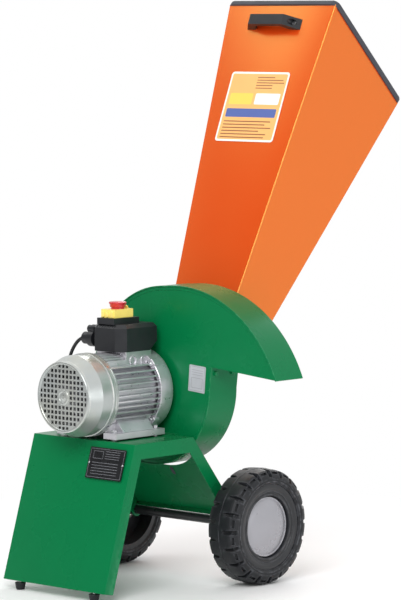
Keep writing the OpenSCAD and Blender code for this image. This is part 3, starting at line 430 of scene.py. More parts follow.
def finish(name):
    """The named finish as a material, built on first use."""
    label = name + "_finish"
    ready = bpy.data.materials.get(label)
    if ready:
        return ready
    plan = FINISHES[name]
    made = bpy.data.materials.new(label)
    made.use_nodes = True
    tree = made.node_tree
    tree.nodes.clear()
    shader = add_node(tree, "ShaderNodeBsdfPrincipled")
    for socket, key, usual in SHADER_VALUES:
        shader.inputs[socket].default_value = plan.get(key, usual)
    base = plan["colour"]
    base = tuple(getattr(colours(), base)) if isinstance(base, str) else base
    amount, scale = plan["tone"]
    shown = group_node(tree, "Tone drift", {"Colour": base, "Amount": amount, "Scale": scale})["Colour"]
    if "tint" in plan:
        tint, tint_scale = plan["tint"]
        noise = surface_noise(tree, tint_scale, 3.0)
        cloud = spread(tree, noise, TINT_START, TINT_FULL, 0.0, TINT_MOST)
        shown = mixed(tree, cloud, shown, tint)
    if "wear" in plan:
        worn, amount, scale = plan["wear"]
        mask = group_node(tree, "Edge wear", {"Amount": amount, "Scale": scale})["Mask"]
        shown = mixed(tree, mask, shown, worn)
    if "dust" in plan:
        mask = group_node(tree, "Settled dust", {"Amount": plan["dust"], "Scale": DUST_SCALE})["Mask"]
        shown = mixed(tree, mask, shown, DUST_COLOUR)
    tree.links.new(shown, shader.inputs["Base Color"])
    amount, scale = plan["gloss"]
    gloss = group_node(tree, "Gloss drift", {"Roughness": plan["rough"], "Amount": amount, "Scale": scale})
    tree.links.new(gloss["Roughness"], shader.inputs["Roughness"])
    if "relief" in plan:
        strength, scale, detail = plan["relief"]
        height = group_node(tree, "Fine relief", {"Scale": scale, "Detail": detail})["Height"]
        bump = {"Height": height, "Strength": strength, "Distance": RELIEF_HEIGHT}
        normal = add_node(tree, "ShaderNodeBump", bump).outputs["Normal"]
        tree.links.new(normal, shader.inputs["Normal"])
    out = add_node(tree, "ShaderNodeOutputMaterial")
    tree.links.new(shader.outputs["BSDF"], out.inputs["Surface"])
    return made


# Meshes and pieces.


def thing_from(bm, name):
    """A linked object made of a bmesh."""
    mesh = bpy.data.meshes.new(name)
    bm.to_mesh(mesh)
    bm.free()
    made = bpy.data.objects.new(name, mesh)
    bpy.context.scene.collection.objects.link(made)
    return made


def plain(thing):
    """Turns a thing's modifiers into plain mesh."""
    graph = bpy.context.evaluated_depsgraph_get()
    shown = thing.evaluated_get(graph)
    mesh = bpy.data.meshes.new_from_object(shown, preserve_all_data_layers=True, depsgraph=graph)
    old = thing.data
    thing.modifiers.clear()
    thing.data = mesh
    bpy.data.meshes.remove(old)
    mesh.name = thing.name
    return thing


def discard(thing):
    bpy.data.objects.remove(thing)


# Facets round a small turned piece, and up a domed head.
SMALL_STEPS = 24
DOME_STEPS = 6
# Edges wear from the first angle on, and fully from the second; faces crease beyond the third.
SHARP = math.radians(30)
FULLY_SHARP = math.radians(45)
SMOOTH_LIMIT = math.radians(38)
# Width of a face, in metres, up to which its edge wears fully.
WEAR_REACH = 0.0025
# What counts as one flat face, and as one point, when a CAD node's triangles are joined.
FLAT = math.radians(0.6)
SAME_POINT = 2e-5


def edge_mark(edge):
    """How much wear an edge takes: more the sharper it is, less the broader the faces beside it."""
    sharp = min((edge.calc_face_angle_signed(0.0) - SHARP) / (FULLY_SHARP - SHARP), 1.0)
    if sharp <= 0:
        return 0.0
    broad = max(face.calc_area() for face in edge.link_faces) / max(edge.calc_length(), SAME_POINT)
    return sharp * min(1.0, WEAR_REACH / max(broad, SAME_POINT))


def mark_edges(thing):
    """Stores at each point how much wear its outer edges take."""
    bm = bmesh.new()
    bm.from_mesh(thing.data)
    worn = {edge: edge_mark(edge) for edge in bm.edges}
    marks = [max((worn[edge] for edge in vert.link_edges), default=0.0) for vert in bm.verts]
    bm.free()
    layer = thing.data.attributes.get("edge") or thing.data.attributes.new("edge", "FLOAT", "POINT")
    layer.data.foreach_set("value", marks)


def smooth(bm):
    for face in bm.faces:
        face.smooth = True


def look_out(bm, pick, way):
    """Turns all faces alike, so that the picked one looks the given way, and smooths them."""
    bmesh.ops.recalc_face_normals(bm, faces=bm.faces)
    if pick(bm.faces[:]).normal.dot(Vector(way)) < 0:
        bmesh.ops.reverse_faces(bm, faces=bm.faces)
    smooth(bm)


def highest(faces):
    return max(faces, key=lambda face: face.calc_center_median().z)


def shade(bm, limit=SMOOTH_LIMIT):
    """Smooth faces, with a crease wherever two of them meet at more than the limit."""
    bm.normal_update()
    smooth(bm)
    for edge in bm.edges:
        edge.smooth = edge.calc_face_angle(0.0) < limit


def add_bevel(thing, name, width, segments, limit):
    """Adds a bevel of the edges that are sharper than a limit in degrees."""
    bevel = thing.modifiers.new(name, "BEVEL")
    bevel.width = width
    bevel.segments = segments
    bevel.limit_method = "ANGLE"
    bevel.angle_limit = math.radians(limit)
    return bevel


def rounded(thing, width, segments=2, limit=30.0):
    """Rounds a thing's sharp edges and leaves it plain."""
    add_bevel(thing, "Rounded edges", width, segments, limit).harden_normals = True
    return plain(thing)


# The angle, in degrees, from which a sheet's edges are rounded, so that its folds and arcs stay.
SHEET_LIMIT = 40


def sheeted(thing, thickness):
    """Gives a face its sheet's thickness, inward, and leaves it plain."""
    sheet = thing.modifiers.new("Sheet", "SOLIDIFY")
    sheet.thickness = thickness
    sheet.offset = -1
    return plain(thing)


def settle(thing, body, material, nodes=()):
    """Gives a finished piece its material, its body and the CAD nodes that it stands for."""
    if not isinstance(material, list):
        thing.data.materials.clear()
        thing.data.materials.append(finish(material))
    if thing.type == "MESH":
        mark_edges(thing)
    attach(thing, body)
    if nodes:
        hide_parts(*nodes)
    return thing


def joined_copy(node, name):
    """A copy of a CAD node's triangles, joined into smooth, flat-faced mesh."""
    bm = bmesh.new()
    bm.from_mesh(frame["nodes"][node].data)
    bmesh.ops.remove_doubles(bm, verts=bm.verts, dist=SAME_POINT)
    bmesh.ops.dissolve_limit(bm, angle_limit=FLAT, verts=bm.verts, edges=bm.edges)
    smooth(bm)
    made = thing_from(bm, name)
    custom = made.data.attributes.get("custom_normal")
    if custom:
        made.data.attributes.remove(custom)
    return made


def dressed(node, material, width, segments=2, limit=30.0):
    """Stands a copy with rounded edges in for a CAD node whose shape is right."""
    made = rounded(joined_copy(node, node + "_shown"), width, segments, limit)
    return settle(made, node_bodies[node], material, nodes=[node])


def coated(material, *nodes):
    """Gives CAD nodes that stay as they are their finish."""
    for node in nodes:
        for holder in frame["nodes"][node].material_slots:
            holder.material = finish(material)


def arc(x, y, radius, start, end, steps):
    """Flat points of an arc, between two angles in radians."""
    angles = [start + (end - start) * k / steps for k in range(steps + 1)]
    return [(x + radius * math.cos(a), y + radius * math.sin(a)) for a in angles]


# What counts as no corner, in radians, and the share of a side that a rounding may take up.
STRAIGHT, ROUNDING_SHARE = 1e-3, 0.45


def filleted(points, radius, steps):
    """A flat line with its inner corners rounded."""
    line = [Vector(points[0])]
    for before, corner, after in zip(points, points[1:], points[2:]):
        corner = Vector(corner)
        back = (Vector(before) - corner).normalized()
        ahead = (Vector(after) - corner).normalized()
        half = back.angle(ahead) / 2
        if math.pi - 2 * half < STRAIGHT:
            line.append(corner)
            continue
        reach = min(radius / math.tan(half), (Vector(before) - corner).length * ROUNDING_SHARE)
        turn = reach * math.tan(half)
        centre = corner + (back + ahead).normalized() * (turn / math.sin(half))
        start = corner + back * reach - centre
        end = corner + ahead * reach - centre
        for step in range(steps + 1):
            line.append(centre + start.slerp(end, step / steps))
    line.append(Vector(points[-1]))
    return line


def band(bm, line_a, line_b, closed=False):
    """Faces between two rows of points."""
    row_a = [bm.verts.new(p) for p in line_a]
    row_b = [bm.verts.new(p) for p in line_b]
    count = len(row_a)
    for i in range(count if closed else count - 1):
        k = (i + 1) % count
        bm.faces.new((row_a[i], row_a[k], row_b[k], row_b[i]))
    return row_a, row_b


def prism(bm, line_a, line_b):
    """A closed solid between two like outlines."""
    for end in band(bm, line_a, line_b, closed=True):
        bm.faces.new(end)
    bmesh.ops.recalc_face_normals(bm, faces=bm.faces)


def box_in(bm, low, high, turn=Matrix.Identity(4)):
    """Adds a box between two corners, in a turned and shifted frame."""
    low, high = Vector(low), Vector(high)
    size = high - low
    place = turn @ Matrix.Translation((low + high) / 2) @ Matrix.Diagonal((*size, 1))
    return bmesh.ops.create_cube(bm, size=1, matrix=place)["verts"]


# Turns that lay a place's own Z along an axis of the frame.
AXES = {
    "X": Matrix(((0, 0, 1, 0), (1, 0, 0, 0), (0, 1, 0, 0), (0, 0, 0, 1))),
    "Y": Matrix(((0, 1, 0, 0), (0, 0, 1, 0), (1, 0, 0, 0), (0, 0, 0, 1))),
}


def turned(bm, profile, place, closed=False, steps=None):
    """Turns a line of (radius, height) points, in millimetres, round an axis: the place's own Z."""
    steps = steps or sizes().round_steps
    line = [(r * MM, h * MM) for r, h in profile]
    rows = []
    for k in range(steps):
        angle = 2 * math.pi * k / steps
        rows.append([
            bm.verts.new(place @ Vector((r * math.cos(angle), r * math.sin(angle), h))) for r, h in line
        ])
    count = len(profile)
    for k in range(steps):
        this, following = rows[k], rows[(k + 1) % steps]
        for i in range(count if closed else count - 1):
            j = (i + 1) % count
            bm.faces.new((this[i], following[i], following[j], this[j]))
    bmesh.ops.remove_doubles(bm, verts=[v for row in rows for v in row], dist=SAME_POINT / 2)
    bmesh.ops.recalc_face_normals(bm, faces=bm.faces)


def turned_thing(name, *turns):
    """A smooth thing of turned lines: each a profile, its place, whether it is closed, and its steps."""
    bm = bmesh.new()
    for turn in turns:
        turned(bm, *turn)
    shade(bm)
    return thing_from(bm, name)


# Geometry Nodes.


def copies_of(tree, given):
    """The given part as many times as asked, each copy with its number."""
    part = add_node(tree, "GeometryNodeGeometryToInstance", {"Geometry": given["Part"]}).outputs["Instances"]
    return add_node(
        tree, "GeometryNodeDuplicateElements", {"Geometry": part, "Amount": given["Count"]}, domain="INSTANCE"
    ).outputs


def ended(tree, instances, given, socket, join=None):
    """The end of each tree: real mesh, joined where asked, in its finish."""
    shape = add_node(tree, "GeometryNodeRealizeInstances", {"Geometry": instances}).outputs["Geometry"]
    if join is not None:
        shape = add_node(
            tree, "GeometryNodeMergeByDistance", {"Geometry": shape, "Distance": join}
        ).outputs["Geometry"]
    shape = add_node(tree, "GeometryNodeSetMaterial", {"Geometry": shape, "Material": given["Finish"]})
    tree.links.new(shape.outputs["Geometry"], socket)
    return tree


def ring_of_parts():
    """Geometry Nodes: copies a part round an axis and joins the copies where they meet."""
    tree, given, out = new_group(
        "Ring of parts",
        "GeometryNodeTree",
        [
            ("Part", SHAPE, None), ("Count", WHOLE, 8), ("Centre", VECTOR, (0, 0, 0)),
            ("Axis", VECTOR, (1, 0, 0)), ("Join within", NUMBER, 0.0001), ("Finish", FINISH, None),
        ],
        [("Ring", SHAPE)],
    )
    copies = copies_of(tree, given)
    step = maths(tree, "DIVIDE", 2 * math.pi, given["Count"])
    angle = maths(tree, "MULTIPLY", copies["Duplicate Index"], step)
    turn = add_node(tree, "FunctionNodeAxisAngleToRotation", {"Axis": given["Axis"], "Angle": angle})
    ring = add_node(
        tree,
        "GeometryNodeRotateInstances",
        {
            "Instances": copies["Geometry"], "Rotation": turn.outputs["Rotation"],
            "Pivot Point": given["Centre"], "Local Space": False,
        },
    ).outputs["Instances"]
    return ended(tree, ring, given, out["Ring"], given["Join within"])


def row_of_parts():
    """Geometry Nodes: copies a part along a straight line at an even step."""
    tree, given, out = new_group(
        "Row of parts",
        "GeometryNodeTree",
        [
            ("Part", SHAPE, None), ("Count", WHOLE, 4), ("Step", VECTOR, (0, 0, 0.01)),
            ("Finish", FINISH, None),
        ],
        [("Row", SHAPE)],
    )
    copies = copies_of(tree, given)
    steps = {0: given["Step"], "Scale": copies["Duplicate Index"]}
    shift = add_node(tree, "ShaderNodeVectorMath", steps, operation="SCALE").outputs["Vector"]
    row = add_node(
        tree,
        "GeometryNodeTranslateInstances",
        {"Instances": copies["Geometry"], "Translation": shift, "Local Space": False},
    ).outputs["Instances"]
    return ended(tree, row, given, out["Row"])


def parts_on_points():
    """Geometry Nodes: sets a part on each point of a mesh, all turned the same way."""
    tree, given, out = new_group(
        "Parts on points",
        "GeometryNodeTree",
        [("Points", SHAPE, None), ("Part", THING, None), ("Turn", TURN, (0, 0, 0)), ("Finish", FINISH, None)],
        [("Parts", SHAPE)],
    )
    part = add_node(tree, "GeometryNodeObjectInfo", {"Object": given["Part"]}).outputs["Geometry"]
    points = add_node(tree, "GeometryNodeMeshToPoints", {"Mesh": given["Points"]}).outputs["Points"]
    parts = add_node(
        tree, "GeometryNodeInstanceOnPoints", {"Points": points, "Instance": part, "Rotation": given["Turn"]}
    ).outputs["Instances"]
    return ended(tree, parts, given, out["Parts"])


TREES = {"Ring of parts": ring_of_parts, "Row of parts": row_of_parts, "Parts on points": parts_on_points}


def grown(thing, name, **values):
    """Runs a Geometry Nodes tree on a thing and leaves plain mesh."""
    tree = bpy.data.node_groups.get(name) or TREES[name]()
    modifier = thing.modifiers.new(name, "NODES")
    modifier.node_group = tree
    for item in tree.interface.items_tree:
        key = item.name.lower().replace(" ", "_")
        if item.in_out == "INPUT" and key in values:
            modifier[item.identifier] = values[key]
    return plain(thing)


def fasteners(name, part, points, turn, body, material):
    """One piece made of the same fastener at each of the points."""
    bm = bmesh.new()
    for point in points:
        bm.verts.new(point)
    made = thing_from(bm, name)
    grown(made, "Parts on points", part=part, turn=turn, finish=finish(material))
    discard(part)
    return settle(made, body, material)


def dome_head(radius, height):
    """A round domed head, in millimetres, standing up along Z from the origin."""
    rise = [(radius * x, height * y) for x, y in arc(0, 0, 1, 0, math.pi / 2, DOME_STEPS)]
    return turned_thing("domed head", ([(radius, 0)] + rise, Matrix.Identity(4), False, SMALL_STEPS))


def panel_frame(origin, right, up):
    """Takes flat coordinates on a panel to the frame: X right, Y up the panel, Z out of it."""
    right, up = Vector(right).normalized(), Vector(up).normalized()
    turn = Matrix((right, up, right.cross(up))).transposed().to_4x4()
    turn.translation = origin
    return turn


# Facets round a corner of a printed field.
CORNER_STEPS = 5


def field_outline(x0, y0, x1, y1, radius=0.0):
    """The outline of a field with round corners, anticlockwise."""
    if not radius:
        return [(x0, y0), (x1, y0), (x1, y1), (x0, y1)]
    left, low, right, high = x0 + radius, y0 + radius, x1 - radius, y1 - radius
    line = []
    for quarter, (x, y) in enumerate(((right, high), (left, high), (left, low), (right, low))):
        start = quarter * math.pi / 2
        line += arc(x, y, radius, start, start + math.pi / 2, CORNER_STEPS)
    return line


def printed(name, turn, layers, body, nodes=()):
    """A thin plate with blank printed fields: each layer is a finish, its fields, its foot and its top."""
    bm = bmesh.new()
    for index, (_, fields, low, high) in enumerate(layers):
        for field in fields:
            line = field_outline(*field)
            rows = [[bm.verts.new(turn @ (Vector((x, y, z)) * MM)) for x, y in line] for z in (low, high)]
            faces = [bm.faces.new(rows[0][::-1]), bm.faces.new(rows[1])]
            for k in range(len(rows[0])):
                j = (k + 1) % len(rows[0])
                faces.append(bm.faces.new((rows[0][k], rows[0][j], rows[1][j], rows[1][k])))
            for face in faces:
                face.material_index = index
    made = thing_from(bm, name)
    for layer in layers:
        made.data.materials.append(finish(layer[0]))
    return settle(made, body, [], nodes)


def lines_from(x, y, step, height, reaches):
    """Plain lines one below the other, from a place on, each as long as its reach."""
    return [(x, y - step * k, x + reach, y - step * k + height) for k, reach in enumerate(reaches)]


def ruled(x0, y0, x1, y1, line):
    """The four strips of an empty ruled field."""
    return [
        (x0, y0, x1, y0 + line),
        (x0, y1 - line, x1, y1),
        (x0, y0 + line, x0 + line, y1 - line),
        (x1 - line, y0 + line, x1, y1 - line),
    ]


# Stage.


# The mirrored room: how its back leans, and between which heights or depths its parts blend.
ROOM_LEAN = 0.3
BACKDROP_RISE = (-0.15, 0.5)
ROOM_RISE = (0.0, 0.35)
ROOM_DEPTH = (-0.42, 0.1)


def make_world():
    """White behind the object, also where it is mirrored, a dimmer room in front, and an even soft light."""
    world = bpy.data.worlds.new("studio")
    world.use_nodes = True
    tree = world.node_tree
    tree.nodes.clear()
    rays = add_node(tree, "ShaderNodeLightPath").outputs
    way = add_node(tree, "ShaderNodeTexCoord").outputs["Generated"]
    way = add_node(tree, "ShaderNodeSeparateXYZ", {"Vector": way}).outputs
    behind = maths(tree, "ADD", way["Y"], maths(tree, "MULTIPLY", way["Z"], ROOM_LEAN))
    backdrop = spread(tree, way["Z"], *BACKDROP_RISE, studio().backdrop_foot, 1.0)
    room = spread(tree, way["Z"], *ROOM_RISE, studio().front_room, studio().front_dark)
    mirrored = spread(tree, behind, *ROOM_DEPTH, room, backdrop)
    fill = studio().fill_light
    shown = mixed(tree, rays["Is Glossy Ray"], (fill, fill, fill, 1), mirrored)
    seen = maths(tree, "MAXIMUM", rays["Is Camera Ray"], rays["Is Transmission Ray"])
    shown = mixed(tree, seen, shown, (1, 1, 1, 1))
    back = add_node(tree, "ShaderNodeBackground", {"Color": shown, "Strength": 1.0})
    out = add_node(tree, "ShaderNodeOutputWorld")
    tree.links.new(back.outputs["Background"], out.inputs["Surface"])
    bpy.context.scene.world = world


# The floor: how far it lies below the feet, its grey, and where it runs out into white, in metres.
FLOOR_DROP = 0.0008
FLOOR_GREY = (0.93, 0.93, 0.93, 1)
FLOOR_FADE = (0.55, 1.3)


def make_floor():
    """A round pale floor that keeps the shadow and runs out into white."""
    bm = bmesh.new()
    bmesh.ops.create_circle(bm, cap_ends=True, segments=96, radius=studio().floor_radius)
    bmesh.ops.translate(bm, verts=bm.verts, vec=(0, 0, -FLOOR_DROP))
    floor = thing_from(bm, "studio_floor")
    made = bpy.data.materials.new("studio_floor")
    made.use_nodes = True
    tree = made.node_tree
    tree.nodes.clear()
    matt = add_node(tree, "ShaderNodeBsdfPrincipled", {"Roughness": 0.8})
    tone = group_node(tree, "Tone drift", {"Colour": FLOOR_GREY, "Amount": 0.01, "Scale": 1.5})
    tree.links.new(tone["Colour"], matt.inputs["Base Color"])
    white = add_node(tree, "ShaderNodeEmission", {"Color": (1, 1, 1, 1), "Strength": 1.0})
    place = add_node(tree, "ShaderNodeTexCoord").outputs["Object"]
    away = add_node(tree, "ShaderNodeVectorMath", {0: place}, operation="LENGTH").outputs["Value"]
    far = spread(tree, away, *FLOOR_FADE, 0.0, 1.0)
    rays = add_node(tree, "ShaderNodeLightPath").outputs
    seen = maths(tree, "MAXIMUM", rays["Is Camera Ray"], rays["Is Glossy Ray"])
    seen = maths(tree, "MAXIMUM", seen, rays["Is Transmission Ray"])
    factor = maths(tree, "MULTIPLY", far, seen)
    parts = {0: factor, 1: matt.outputs["BSDF"], 2: white.outputs["Emission"]}
    mix = add_node(tree, "ShaderNodeMixShader", parts)
    out = add_node(tree, "ShaderNodeOutputMaterial")
    tree.links.new(mix.outputs["Shader"], out.inputs["Surface"])
    floor.data.materials.append(made)


def make_lamp(name, place, target, size, power):
    """A soft square lamp that looks at a point."""
    lamp = bpy.data.lights.new(name, "AREA")
    lamp.shape = "SQUARE"
    lamp.size = size
    lamp.energy = power
    made = bpy.data.objects.new(name, lamp)
    made.location = place
    made.rotation_euler = (Vector(target) - Vector(place)).to_track_quat("-Z", "Y").to_euler()
    bpy.context.scene.collection.objects.link(made)


# Each lamp: its name, place, target and size, in metres of the frame, and its share of the key power.
LAMPS = (
    ("key_lamp", (1.7, -2.9, 2.9), (0.1, 0, 0.55), 2.2, 0.30),
    ("side_card", (3.2, 0.0, 0.75), (0, -0.1, 0.5), 1.3, 0.03),
    ("glow_card", (-1.65, -0.95, 3.0), (0, 0.2, 1.0), 1.3, 0.03),
    ("back_lamp", (-1.4, 3.0, 2.8), (0, 0, 0.6), 2.2, 0.20),
)
# The camera's place in the maker's millimetres, and its turn in degrees.
CAMERA_PLACE = (4986.4, -5247.6, 1215.5)
CAMERA_AZIMUTH = 42.55
CAMERA_PITCH = 4.79


def make_camera():
    """The camera, at the photograph's angle."""
    lens = bpy.data.cameras.new("camera")
    lens.lens = studio().lens
    lens.sensor_width = 36
    lens.clip_end = 100
    made = bpy.data.objects.new("camera", lens)
    azimuth, pitch = math.radians(CAMERA_AZIMUTH), math.radians(CAMERA_PITCH)
    ahead = Vector((
        -math.sin(azimuth) * math.cos(pitch), math.cos(azimuth) * math.cos(pitch), -math.sin(pitch)
    ))
    made.location = at(*CAMERA_PLACE)
    made.rotation_euler = ahead.to_track_quat("-Z", "Y").to_euler()
    bpy.context.scene.collection.objects.link(made)
    bpy.context.scene.camera = made


class ShredderStage(bpy.types.Operator):
    """Makes the floor, the light and the camera"""

    bl_idname = "shredder.stage"
    bl_label = "Stage"

    def execute(self, context):
        context.scene.view_settings.view_transform = "Standard"
        make_camera()
        make_world()
        make_floor()
        for name, place, target, size, part in LAMPS:
            make_lamp(name, place, target, size, studio().key_power * part)
        return {"FINISHED"}


# Mains lead, as the part's source lays it, in millimetres.
GLAND_Y, GLAND_Z = -93, 529
LEAD_EXIT_X = -88
LEAD_X = -166
BEND_DROP = 190
HANG_DROP = 140
HANG_POINTS = 5
LEAD_BEND = (
    (0.09, 0.016), (0.192, 0.042), (0.295, 0.082), (0.385, 0.129), (0.462, 0.182), (0.526, 0.247),
    (0.603, 0.342), (0.692, 0.458), (0.788, 0.579), (0.885, 0.711), (0.968, 0.853), (1, 1),
)
CORD_D = 7.5


def lead_points():
    """The lead's route: out of its gland, round one bend and straight down to its plug."""
    points = [at(LEAD_EXIT_X, GLAND_Y, GLAND_Z)]
    for out, down in LEAD_BEND:
        points.append(at(LEAD_EXIT_X + out * (LEAD_X - LEAD_EXIT_X), GLAND_Y, GLAND_Z - down * BEND_DROP))
    for k in range(1, HANG_POINTS + 1):
        points.append(at(LEAD_X, GLAND_Y, GLAND_Z - BEND_DROP - k * HANG_DROP / HANG_POINTS))
    return points


def smoothed(points, steps=5):
    """A smooth line through the points, with a few more between each two."""
    line = []
    for i in range(len(points) - 1):
        before, start, end = points[max(i - 1, 0)], points[i], points[i + 1]
        after = points[min(i + 2, len(points) - 1)]
        for k in range(steps):
            t = k / steps
            line.append(
                start + (end - before) * (t / 2) + (before * 2 - start * 5 + end * 4 - after) * (t * t / 2)
                + (start * 3 - before - end * 3 + after) * (t ** 3 / 2)
            )
    return line + [points[-1]]


class ShredderLead(bpy.types.Operator):
    """Makes the mains lead and its plug"""

    bl_idname = "shredder.lead"
    bl_label = "Mains lead"

    def execute(self, context):
        points = smoothed(lead_points())
        line = bpy.data.curves.new("mains_cord", "CURVE")
        line.dimensions = "3D"
        line.bevel_depth = CORD_D / 2 * MM
        line.bevel_resolution = 4
        line.use_fill_caps = True
        spline = line.splines.new("POLY")
        spline.points.add(len(points) - 1)
        for knot, point in zip(spline.points, points):
            knot.co = (*point, 1)
        spline.use_smooth = True
        cord = bpy.data.objects.new("mains_cord", line)
        context.scene.collection.objects.link(cord)
        plug = dressed("lead_plug", "lead_rubber", 0.8 * MM)
        settle(cord, "chassis", "lead_rubber", ["mains_lead"])
        return {"FINISHED"}


# Stand, in the maker's millimetres and degrees.
STAND_W = 300
SHELF_H, SHELF_D = 328, 184
SHELF_FLANGE, LEG_FLANGE = 36, 31
FRONT_LEAN, REAR_LEAN = math.radians(17.2), math.radians(37.5)
FOOT_H, FOOT_LIP = 15, 30
REAR_LIP = 12
AXLE_Z, AXLE_R = 125, 10
AXLE_INSET = LEG_FLANGE / 2
AXLE_ALONG = (SHELF_H - AXLE_Z - AXLE_INSET * math.sin(REAR_LEAN)) / math.cos(REAR_LEAN)
AXLE_Y = AXLE_ALONG * math.sin(REAR_LEAN) - AXLE_INSET * math.cos(REAR_LEAN)
FRONT_Y = -SHELF_D - (SHELF_H - FOOT_H) * math.tan(FRONT_LEAN)
CASING_X, CASING_Z, DRUM_R = 12, 425, 173
# Facets of a fold, and the side folds: their share of its radius, their facets and least angle in degrees.
FOLD_STEPS, SIDE_FOLD, SIDE_FOLD_STEPS, SIDE_FOLD_LIMIT = 5, 0.8, 4, 50
# The gap between the rear leg's sheet and the axle.
AXLE_GAP = 1.5
# The bay that the casing hangs in: its shift and radius, its two ends and its facets.
BAY_SHIFT, BAY_R, BAY_ENDS, BAY_STEPS = 5, DRUM_R + 4.5, (3, 220), 160
# The angle under the shelf: half its width, front edge, thickness and its depths below the shelf.
ANGLE_HALF, ANGLE_Y, ANGLE_T, ANGLE_TOP, ANGLE_FOLD, ANGLE_FOOT = 95, -28, 3, 3.2, 6.2, 34
# The lip at the rear leg's foot: its inset at both ends, its start and its thickness.
LIP_INSET, LIP_START, LIP_T = 4, 0.5, 3
# The drill that opens the eyes of the axle: radius and place along it.
AXLE_DRILL, DRILL_STEPS = ((0, -20), (AXLE_R, -20), (AXLE_R, 20), (0, 20)), 48
# Facets round the end of each side of the rear leg, where it takes the axle.
EYE_STEPS = 12
# A dark rubber strip on the rear leg, painted shade where a slot lies in shadow: its middle and its size,
# across and down the leg.
SLOT_SHADE = (28.5, 113, 9, 22)
# Half the flat that is left at its round ends, its foot and its top.
SLOT_SHADE_FLAT, SLOT_SHADE_FOOT, SLOT_SHADE_TOP = 0.2, -6, 0.8
# The blank plate on the front leg: its edges, from the shelf's front middle, and its rivets.
RATING_PLATE = (30, -84, 134, -17)
RIVET_INSET, RIVET_R, RIVET_H = 3.5, 2.4, 1.3
PLATE_INSET, PLATE_LINE, PLATE_CORNER = 3, 0.5, 2
# Its thickness, and the foot and the top of its marks.
PLATE_T, PLATE_MARK = 1, (0.9, 1.08)
# Its field, from its upper left corner, and its lines: place, step down, height and reaches.
PLATE_FIELD = (12, -24, 40, -8)
PLATE_UPPER = (46, -8, 5, 0.6, (42,) * 4)
PLATE_LOWER = (12, -33, 6, 0.6, (76,) * 5)


def rear_leg_end():
    """Where the rear leg's sheet ends, above the axle, in the stand's side view."""
    along = AXLE_ALONG - AXLE_R - AXLE_GAP
    return along * math.sin(REAR_LEAN), SHELF_H - along * math.cos(REAR_LEAN)


def side_edge():
    """The free edge of a turned-in side: round the axle, then by the flanges to the front foot."""
    front_s = (SHELF_FLANGE - LEG_FLANGE * math.sin(FRONT_LEAN)) / math.cos(FRONT_LEAN)
    rear_s = (SHELF_FLANGE - LEG_FLANGE * math.sin(REAR_LEAN)) / math.cos(REAR_LEAN)
    fold_z = SHELF_H - SHELF_FLANGE
    return arc(AXLE_Y, AXLE_Z, AXLE_INSET, REAR_LEAN, REAR_LEAN - math.pi, EYE_STEPS) + [
        (-LEG_FLANGE * math.cos(REAR_LEAN) + rear_s * math.sin(REAR_LEAN), fold_z),
        (-SHELF_D + LEG_FLANGE * math.cos(FRONT_LEAN) - front_s * math.sin(FRONT_LEAN), fold_z),
        (FRONT_Y + LEG_FLANGE / math.cos(FRONT_LEAN), FOOT_H),
    ]


def folded_sheet():
    """The stand's sheet, folded over the front leg, the shelf and the rear leg, with turned-in sides."""
    settings = sizes()
    corners = [
        (FRONT_Y + FOOT_LIP, FOOT_H), (FRONT_Y, FOOT_H), (-SHELF_D, SHELF_H), (0, SHELF_H), rear_leg_end(),
    ]
    line = filleted(corners, settings.fold_radius / MM, FOLD_STEPS)
    half = STAND_W / 2
    bm = bmesh.new()
    left, right = band(bm, [at(-half, y, z) for y, z in line], [at(half, y, z) for y, z in line])
    for side, row in ((-1, left), (1, right)):
        rest = [bm.verts.new(at(side * half, y, z)) for y, z in side_edge()]
        bm.faces.new(row + rest)
    look_out(bm, lambda faces: max(faces, key=lambda face: face.normal.z * face.calc_area()), (0, 0, 1))
    sheet = thing_from(bm, "stand_sheet")
    add_bevel(sheet, "Side folds", settings.fold_radius * SIDE_FOLD, SIDE_FOLD_STEPS, SIDE_FOLD_LIMIT)
    return sheeted(sheet, settings.stand_sheet)


def cut_bay_and_eyes(sheet):
    """Cuts the bay that the casing hangs in and the axle's two eyes out of the stand's sheet."""
    half = STAND_W / 2
    widest = half - sizes().fold_radius / MM
    bay = arc(CASING_X + BAY_SHIFT, CASING_Z, BAY_R, 0, 2 * math.pi, BAY_STEPS)[:-1]
    bm = bmesh.new()
    prism(bm, *([at(min(x, widest), y, z) for x, z in bay] for y in BAY_ENDS))
    for side in (-1, 1):
        eye = Matrix.Translation(at(side * half, AXLE_Y, AXLE_Z)) @ AXES["X"]
        turned(bm, AXLE_DRILL, eye, steps=DRILL_STEPS)
    cutter = thing_from(bm, "casing bay")
    bay_cut = sheet.modifiers.new("Casing bay", "BOOLEAN")
    bay_cut.operation = "DIFFERENCE"
    bay_cut.solver = "EXACT"
    bay_cut.object = cutter
    plain(sheet)
    discard(cutter)


def add_angle_and_lip(sheet):
    """Adds the angle under the shelf and the lip at the rear leg's foot to the stand's sheet."""
    bm = bmesh.new()
    bm.from_mesh(sheet.data)
    fold_z = SHELF_H - ANGLE_FOLD
    box_in(bm, at(-ANGLE_HALF, ANGLE_Y, fold_z), at(ANGLE_HALF, CASING_FRONT_Y, SHELF_H - ANGLE_TOP))
    rear = at(-ANGLE_HALF, CASING_FRONT_Y - ANGLE_T, SHELF_H - ANGLE_FOOT)
    box_in(bm, rear, at(ANGLE_HALF, CASING_FRONT_Y, fold_z))
    lip = panel_frame(at(0, *rear_leg_end()), (1, 0, 0), (0, -math.cos(REAR_LEAN), -math.sin(REAR_LEAN)))
    lip_end = STAND_W / 2 - LIP_INSET
    box_in(bm, Vector((-lip_end, LIP_START, -LIP_T)) * MM, Vector((lip_end, REAR_LIP, 0)) * MM, lip)
    shade(bm)
    bm.to_mesh(sheet.data)
    bm.free()


def stand_sheet():
    """The stand, in one piece."""
    sheet = folded_sheet()
    cut_bay_and_eyes(sheet)
    add_angle_and_lip(sheet)
    rounded(sheet, sizes().sheet_edge, limit=SHEET_LIMIT)
    return settle(sheet, "chassis", "green_paint", ["front_leg", "motor_shelf", "rear_leg"])


